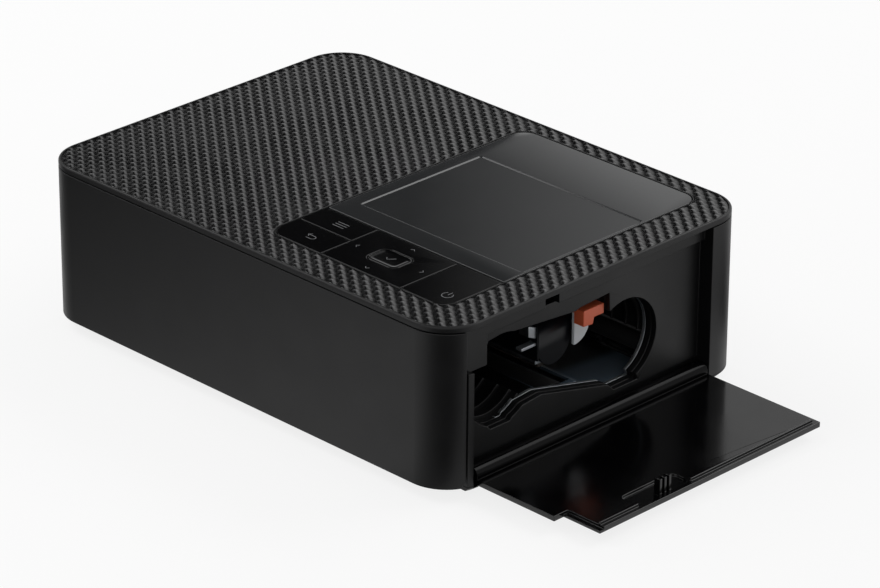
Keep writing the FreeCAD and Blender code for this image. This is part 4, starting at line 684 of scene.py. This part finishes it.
# Levels of the panel, the glass's underside, the OK key's foot, underside and top, in millimetres
PANEL_TOP, GLASS_LOW = 57.4, 56.4
KEY_FOOT, KEY_LOW, OK_TOP = 51.9, 55.2, 57.5
# Outlines as low X, high X, low Y and high Y, with their corner radii, and the inset of the OK key's post
OK_BOX, OK_CORNER, OK_POST_INSET = (34.6, 47.2, -45.3, -36.0), 2.4, 3.6
GLASS_BOX, GLASS_CORNERS = (0.6, 76.4, -27.8, 59.0), (0.3, 0.3, 5.5, 5.5)
WINDOW_BOX, WINDOW_CORNER = (5.6, 75.6, -19.2, 34.2), 0.9
# Edges as pairs of inset and drop below the top, the chamfer under the OK key, and the window's broken edges
GLASS_EDGE = ((0, 0.2), (0.05, 0.08), (0.12, 0.02), (0.25, 0))
OK_EDGE = ((0, 0.45), (0.08, 0.25), (0.26, 0.08), (0.5, 0), (0.9, 0), (1.1, 0.06), (2.0, 0.1))
OK_CHAMFER, BREAK_REACH, BREAK_DROP = 0.1, 0.06, 0.02
# Marks: how deep they reach into a key, and how far they stand above it
MARK_ROOT, MARK_RISE = 0.03, 0.015
MENU_BARS = [[(10.6, y), (15.4, y)] for y in (-35.7, -34.4, -33.1)]
ARROW_PLACES = (((27.2, -41.2), 180), ((41.4, -31.2), 90), ((40.5, -50.1), 270), ((54.3, -40.3), 0))
ARROW_REACH, BACK_REACH = 0.8, 0.95
# The back mark: its tip, upper and lower line, and its bend's centre, radius, angles and number of points
BACK_TIP, BACK_UPPER = (11.2, -45.9), [(11.0, -45.9), (13.4, -45.9)]
BACK_LOWER, BACK_BEND = [(13.4, -47.9), (11.6, -47.9)], ((13.6, -46.9), 1.0, 90, -90, 14)
# The power mark: its ring's centre, radius and angles, and its bar
POWER_RING, POWER_BAR = ((71.1, -46.4), 1.75, 125, 415), [(71.1, -46.2), (71.1, -44.1)]
OK_TICK = [[(39.5, -40.6), (40.5, -41.6), (42.4, -39.5)]]


class PRINTER_OT_display_pane(bpy.types.Operator):
    """Build the display's glass with its sunk window, and dress the housing below it"""
    bl_idname = "photo_printer.display_pane"
    bl_label = "Display"

    def execute(self, context):
        sizes = context.scene.photo_printer_sizes
        step, bevel = sizes.window_step / MM, sizes.window_bevel / MM
        edge = [(0, GLASS_LOW)] + [(inset, PANEL_TOP - drop) for inset, drop in GLASS_EDGE]
        outer = ring_stack(GLASS_BOX, GLASS_CORNERS, edge, steps=12)
        inner = ring_stack(WINDOW_BOX, WINDOW_CORNER, [
            (-BREAK_REACH, PANEL_TOP), (0, PANEL_TOP - BREAK_DROP), (bevel, PANEL_TOP - step + BREAK_DROP),
            (bevel + BREAK_REACH, PANEL_TOP - step)], steps=12)
        mesh = lofted("display_pane", np.concatenate([outer, inner]))
        place("display_pane", mesh, "display_glass", FINISHES["smoked_acrylic"], ("display_glass",))
        softened("display_frame", "display_housing", FINISHES["matt_inner_abs"], 0.2)
        softened("display_screen", "display_module", FINISHES["display_sheet"], 0.1)
        softened("display_hinge_pins", "display_pins", FINISHES["ground_steel"])
        return {"FINISHED"}


def slabs(name, pieces):
    """Flat plates in one mesh. Each piece is an axis, a low and a high place on it, and an outline in the
    other two axes, in order."""
    points, faces, base = [], [], 0
    for axis, low, high, outline in pieces:
        outline = np.asarray(outline, float)
        count = len(outline)
        for level in (low, high):
            points.append(np.insert(outline, axis, level, axis=1))
        index = base + np.arange(count)
        ahead = np.roll(index, -1)
        faces += np.stack([index, ahead, ahead + count, index + count], -1).tolist()
        faces += [index[::-1].tolist(), (index + count).tolist()]
        base += 2 * count
    mesh = bpy.data.meshes.new(name)
    mesh.from_pydata((np.concatenate(points) * MM).tolist(), [], faces)
    return tidy(mesh)


def bevelled(piece, millimetres):
    """Round a finished piece's edges."""
    bevel = piece.modifiers.new("edges", "BEVEL")
    bevel.width, bevel.segments, bevel.limit_method = millimetres * MM, 2, "ANGLE"
    piece.modifiers.new("shading", "WEIGHTED_NORMAL")


def trough(name, lobe, angles, rib_height):
    """A part of a tube along X between two angles in degrees, with ribs on its inner side."""
    axis_y, axis_z, radius = lobe
    turn, inner = np.radians(np.linspace(*angles, 40)), radius + TROUGH_GAP
    pieces = []
    for low, high, near, far in [(*TROUGH_SPAN, inner, inner + TROUGH_WALL)] + [
            (at, at + RIB_WIDTH, inner - rib_height, inner + RIB_ROOT) for at in RIB_PLACES]:
        ring = [np.column_stack([axis_y + r * np.cos(t), axis_z + r * np.sin(t)])
                for r, t in ((near, turn), (far, turn[::-1]))]
        pieces.append((0, low, high, np.concatenate(ring)))
    return slabs(name, pieces)


def chevron(centre, reach, turn):
    """A small arrowhead of three points that points along an angle in degrees."""
    angle = math.radians(turn)
    rotate = np.array([[math.cos(angle), math.sin(angle)], [-math.sin(angle), math.cos(angle)]])
    return np.array([(-0.5, 1.0), (0.5, 0), (-0.5, -1.0)]) * reach @ rotate + np.array(centre)


class PRINTER_OT_keys(bpy.types.Operator):
    """Dress the keys and print their marks"""
    bl_idname = "photo_printer.keys"
    bl_label = "Keys"

    def execute(self, context):
        width = context.scene.photo_printer_sizes.mark_width / MM
        gloss, ink = FINISHES["polished_abs"], FINISHES["screen_ink"]
        for key in ("menu_key", "back_key", "power_key", "direction_key"):
            softened(key + "_cap", key, gloss, 0.28)
        softened("direction_rocker", "direction_key_pivot", FINISHES["matt_inner_abs"], 0.1)
        low, high = PANEL_TOP - MARK_ROOT, PANEL_TOP + MARK_RISE
        back = [chevron(BACK_TIP, BACK_REACH, 180), np.concatenate([BACK_UPPER, arc(*BACK_BEND), BACK_LOWER])]
        power = [arc(*POWER_RING), POWER_BAR]
        arrows = [chevron(at, ARROW_REACH, turn) for at, turn in ARROW_PLACES]
        for name, node, strokes in (
                ("menu_mark", "menu_key", MENU_BARS), ("back_mark", "back_key", back),
                ("power_mark", "power_key", power), ("arrow_marks", "direction_key", arrows)):
            place(name, ribbons(name, strokes, width, low, high), node, ink)
        profile = [(OK_POST_INSET, KEY_FOOT), (OK_POST_INSET, KEY_LOW), (OK_CHAMFER, KEY_LOW),
                   (0, KEY_LOW + OK_CHAMFER)] + [(inset, OK_TOP - drop) for inset, drop in OK_EDGE]
        rings = ring_stack(OK_BOX, OK_CORNER, profile, steps=12)
        place("ok_key_cap", lofted("ok_key_cap", rings), "ok_key", gloss, ("ok_key",))
        face = OK_TOP - OK_EDGE[-1][1]
        tick = ribbons("ok_mark", OK_TICK, width, face - MARK_ROOT, face + MARK_RISE)
        place("ok_mark", tick, "ok_key", ink)
        return {"FINISHED"}


# Case, bay, drive and electronics

# Round lobes of the ribbon bay: the axis in Y and Z and the radius, and each wall's angles in degrees
FRONT_LOBE, REAR_LOBE = (-38.0, 31.9, 15.0), (16.0, 26.0, 14.2)
FRONT_ANGLES, REAR_ANGLES = (135, 318), (-12, 118)
# Walls of the lobes: gap to the lobe, thickness, span along X, and the ribs' places, width and heights
TROUGH_GAP, TROUGH_WALL, TROUGH_SPAN = 0.4, 1.0, (-20, 81.2)
RIB_PLACES, RIB_WIDTH, RIB_ROOT, FRONT_RIB, REAR_RIB = (61, 67, 73, 78), 0.8, 0.1, 1.2, 1.0
# Head carrier: how far its left end stays clear of the left side plate, its walls, and the foot of its apron
CARRIER_INSET, ROOF_WALL, CHEEK_WALL, APRON_WALL, APRON_FOOT = 6.0, 1.4, 1.2, 0.8, 3.0
# Leaf spring: how deep it is let into the carrier, gap to the carrier's end, width and reach of leaf and bar
SPRING_ROOT, SPRING_GAP, LEAF_WIDTH, LEAF_REACH, BAR_WIDTH, BAR_REACH = 0.2, 0.7, 4.0, 3.4, 2.5, 6.4
# Heights above the carrier's foot: the leaf's foot and top at its end and at its root, and the bar's
LEAF_END, LEAF_ROOT, BAR_LEVELS = (12.0, 15.7), (10.5, 14.4), (8.2, 9.2)
# Lever: its tab's length, depth and gap under the band, the arm's depth and inset, and the boss's radius
TAB_LENGTH, TAB_DEEP, TAB_GAP, ARM_DEEP, ARM_INSET, BOSS_RADIUS = 4.2, 3.4, 1.0, 2.4, 0.8, 2.15
# The tab's front lip, as its reach and drop at three corners, and where the boss's axis and the arm's end lie
TAB_LIP, BOSS_PLACE, ARM_START = ((0, 1.9), (4.2, 2.2), (4.8, 0)), 2.2, 1.5
# Hook: its radius, its inset at the front and at the rear, and where it starts and ends before the tab's foot
HOOK_RADIUS, HOOK_FRONT, HOOK_REAR, HOOK_SPAN = 6.9, 1.5, 0.6, (2.2, 1.0)
# Each piece: its name, the CAD node that it replaces, its finish and the rounding of its edges
CASE_PIECES = [
    ("case_shell", "body_shell", "spark_eroded_abs", 0.22),
    ("front_leaf", "front_cover", "spark_eroded_abs", 0.25),
    ("case_floor", "base_cover", "spark_eroded_abs", 0.15),
    ("door_leaf", "ribbon_door", "satin_door_abs", 0.18),
    ("foot_pads", "rubber_feet", "ground_nitrile", 0.3),
    ("floor_screws", "case_screws", "ground_steel", 0.1),
    ("key_tray", "panel_tray", "matt_inner_abs", 0.15)]
BAY_PIECES = [
    ("bay_wall", "bay_surround", "matt_inner_abs", 0.3),
    ("head_sink", "head_heat_sink", "anodised_aluminium", 0.15),
    ("head_glaze", "thermal_head", "glazed_alumina", 0.15),
    ("lever_rivet", "lever_pin", "ground_steel", 0.1),
    ("paper_ramp", "paper_guide", "satin_guide_abs", 0.15),
    ("takeup_spool_hub", "takeup_hub", "grey_acetal", 0.15),
    ("supply_spool_hub", "supply_hub", "grey_acetal", 0.15),
    ("bay_side_plate", "right_side_plate", "zinc_plated_steel", 0.1),
    ("top_bridge", "chassis_bridge", "zinc_plated_steel", 0.1)]
DRIVE_PIECES = [
    ("platen_sleeve", "platen_roller", "ground_nitrile", 0.15),
    ("pinch_sleeve", "pinch_roller", "ground_nitrile", 0.15),
    ("pickup_sleeve", "pickup_roller", "ground_nitrile", 0.15),
    ("platen_rod", "platen_shaft", "ground_steel", 0.1),
    ("pinch_rod", "pinch_shaft", "ground_steel", 0.1),
    ("pickup_rod", "pickup_shaft", "ground_steel", 0.1),
    ("feed_rod", "feed_roller", "ground_steel", 0.1),
    ("feed_wheel", "feed_gear", "white_acetal", 0.0),
    ("idler_wheel", "idler_gear", "white_acetal", 0.0),
    ("feed_motor_pinion", "feed_pinion", "white_acetal", 0.0),
    ("takeup_wheel", "takeup_gear", "white_acetal", 0.0),
    ("ribbon_motor_pinion", "ribbon_pinion", "white_acetal", 0.0),
    ("lift_wheel", "head_lift_gear", "white_acetal", 0.0),
    ("lift_rack", "head_rack", "white_acetal", 0.0),
    ("feed_motor_can", "feed_motor", "zinc_plated_steel", 0.3),
    ("ribbon_motor_can", "ribbon_motor", "zinc_plated_steel", 0.3)]
ELECTRIC_PIECES = [
    ("fan_frame", "fan_housing", "matt_inner_abs", 0.2),
    ("fan_blades", "fan_impeller", "matt_inner_abs", 0.1),
    ("card_reader", "card_slot", "matt_inner_abs", 0.15),
    ("usb_shell", "usb_socket", "zinc_plated_steel", 0.1),
    ("power_socket", "dc_jack", "matt_inner_abs", 0.15)]
# CAD nodes that stay as they are, with their finishes
KEPT_NODES = {
    "chassis_base": "zinc_plated_steel",
    "left_side_plate": "zinc_plated_steel",
    "gearbox_plate": "zinc_plated_steel",
    "control_board": "solder_mask",
    "main_board": "solder_mask",
    "key_switches": "black_phenolic",
    "panel_cable": "polyester_ribbon"}


def dress_all(table):
    for name, node, finish, soft in table:
        softened(name, node, FINISHES[finish], soft)


class PRINTER_OT_case(bpy.types.Operator):
    """Dress the case, its front cover and its ribbon door"""
    bl_idname = "photo_printer.case"
    bl_label = "Case"

    def execute(self, context):
        dress_all(CASE_PIECES)
        return {"FINISHED"}


def head_carrier():
    """A roof over the heat sink, a round-ended cheek at each side and an apron before it, and on the apron a
    leaf spring: a bright upright plate and the bar of its hook."""
    low, high = (np.array(corner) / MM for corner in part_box("head_bracket"))
    middle, radius = (low[1] + high[1]) / 2, (high[1] - low[1]) / 2
    ceiling = high[2] - ROOF_WALL
    roof = [(low[1], ceiling), (high[1], ceiling), (high[1], high[2]), (low[1], high[2])]
    side = np.concatenate([[(high[1], high[2]), (low[1], high[2])],
                           arc((middle, low[2] + radius), radius, 180, 360, 20)])
    left, foot = low[0] + CARRIER_INSET, low[2] + APRON_FOOT
    apron = [(left, foot), (high[0], foot), (high[0], high[2]), (left, high[2])]
    carrier = slabs("head_carrier", [
        (0, left, high[0], roof), (0, left, left + CHEEK_WALL, side),
        (0, high[0] - CHEEK_WALL, high[0], side), (1, low[1], low[1] + APRON_WALL, apron)])
    nylon = FINISHES["glass_filled_nylon"]
    bevelled(place("head_carrier", carrier, "head_bracket", nylon, ("head_bracket",)), 0.25)
    root, end = low[1] + SPRING_ROOT, high[0] - SPRING_GAP
    leaf_end, bar_end = root - LEAF_REACH, root - BAR_REACH
    leaf = [(leaf_end, low[2] + LEAF_END[0]), (root, low[2] + LEAF_ROOT[0]),
            (root, low[2] + LEAF_ROOT[1]), (leaf_end, low[2] + LEAF_END[1])]
    bar_low, bar_high = low[2] + BAR_LEVELS[0], low[2] + BAR_LEVELS[1]
    bar = [(bar_end, bar_low), (root, bar_low), (root, bar_high), (bar_end, bar_high)]
    spring = slabs("head_spring", [(0, end - LEAF_WIDTH, end, leaf), (0, end - BAR_WIDTH, end, bar)])
    bevelled(place("head_spring", spring, "head_bracket", FINISHES["zinc_plated_steel"]), 0.15)


def release_lever():
    """A thumb tab at the end of a flat arm that turns on its pin, and the pale hook under it."""
    low, high = (np.array(corner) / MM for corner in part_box("eject_lever"))
    top, tab_foot = high[2] - TAB_GAP, high[0] - TAB_LENGTH
    shelf = top - TAB_DEEP
    lip = [(low[1] + reach, shelf - drop) for reach, drop in TAB_LIP]
    tab = [(low[1], top)] + lip + [(high[1], shelf), (high[1], top)]
    front, rear, under = low[1] + ARM_INSET, high[1] - ARM_INSET, top - ARM_DEEP
    arm = [(front, under), (rear, under), (rear, top), (front, top)]
    boss = arc((low[0] + BOSS_PLACE, top - ARM_DEEP / 2), BOSS_RADIUS, 0, 345, 24)
    lever = slabs("release_lever", [
        (0, tab_foot, high[0], tab), (0, low[0] + ARM_START, tab_foot + 0.1, arm), (1, front, rear, boss)])
    bevelled(place("release_lever", lever, "eject_lever", FINISHES["orange_acetal"], ("eject_lever",)), 0.3)
    heel = low[1] + HOOK_FRONT
    hook = np.concatenate([[(heel, under), (heel, low[2])],
                           arc((heel, low[2] + HOOK_RADIUS), HOOK_RADIUS, 270, 335, 12),
                           [(high[1] - HOOK_REAR, under)]])
    plate = slabs("lever_hook", [(0, tab_foot - HOOK_SPAN[0], tab_foot - HOOK_SPAN[1], hook)])
    bevelled(place("lever_hook", plate, "eject_lever", FINISHES["white_acetal"]), 0.2)


class PRINTER_OT_ribbon_bay(bpy.types.Operator):
    """Dress what shows in the ribbon bay"""
    bl_idname = "photo_printer.ribbon_bay"
    bl_label = "Ribbon bay"

    def execute(self, context):
        dress_all(BAY_PIECES)
        for name, lobe, angles, rib in (("spool_trough", FRONT_LOBE, FRONT_ANGLES, FRONT_RIB),
                                        ("takeup_trough", REAR_LOBE, REAR_ANGLES, REAR_RIB)):
            wall = trough(name, lobe, angles, rib)
            bevelled(place(name, wall, "bay_surround", FINISHES["matt_inner_abs"]), 0.2)
        head_carrier()
        release_lever()
        return {"FINISHED"}


class PRINTER_OT_drive(bpy.types.Operator):
    """Dress the rollers, gears and motors"""
    bl_idname = "photo_printer.drive"
    bl_label = "Drive"

    def execute(self, context):
        dress_all(DRIVE_PIECES)
        return {"FINISHED"}


class PRINTER_OT_electronics(bpy.types.Operator):
    """Dress the fan, sockets and boards"""
    bl_idname = "photo_printer.electronics"
    bl_label = "Electronics"

    def execute(self, context):
        dress_all(ELECTRIC_PIECES)
        for node, finish in KEPT_NODES.items():
            slots = NODES[node].data.materials
            slots.clear()
            slots.append(FINISHES[finish])
        return {"FINISHED"}


STEPS = (PRINTER_OT_stage, PRINTER_OT_woven_cover, PRINTER_OT_display_pane, PRINTER_OT_keys, PRINTER_OT_case,
         PRINTER_OT_ribbon_bay, PRINTER_OT_drive, PRINTER_OT_electronics)


class PRINTER_PT_dresser(bpy.types.Panel):
    """Lists the steps that dress the printer, with its sizes and colours"""
    bl_idname = "PRINTER_PT_dresser"
    bl_label = "Photo printer"
    bl_space_type = "VIEW_3D"
    bl_region_type = "UI"
    bl_category = "Printer"

    def draw(self, context):
        for step in STEPS:
            self.layout.operator(step.bl_idname)
        for group in (context.scene.photo_printer_sizes, context.scene.photo_printer_colours):
            column = self.layout.column()
            for name in group.bl_rna.properties.keys():
                if name not in ("rna_type", "name"):
                    column.prop(group, name)


CLASSES = (PhotoPrinterSizes, PhotoPrinterColours) + STEPS + (PRINTER_PT_dresser,)


def register():
    for one in CLASSES:
        bpy.utils.register_class(one)
    bpy.types.Scene.photo_printer_sizes = PointerProperty(type=PhotoPrinterSizes)
    bpy.types.Scene.photo_printer_colours = PointerProperty(type=PhotoPrinterColours)


def unregister():
    del bpy.types.Scene.photo_printer_colours
    del bpy.types.Scene.photo_printer_sizes
    for one in reversed(CLASSES):
        bpy.utils.unregister_class(one)


def main():
    register()
    make_finishes(bpy.context.scene.photo_printer_colours)
    for step in STEPS:
        group, operator = step.bl_idname.split(".")
        getattr(getattr(bpy.ops, group), operator)()


if __name__ == "__main__":
    main()
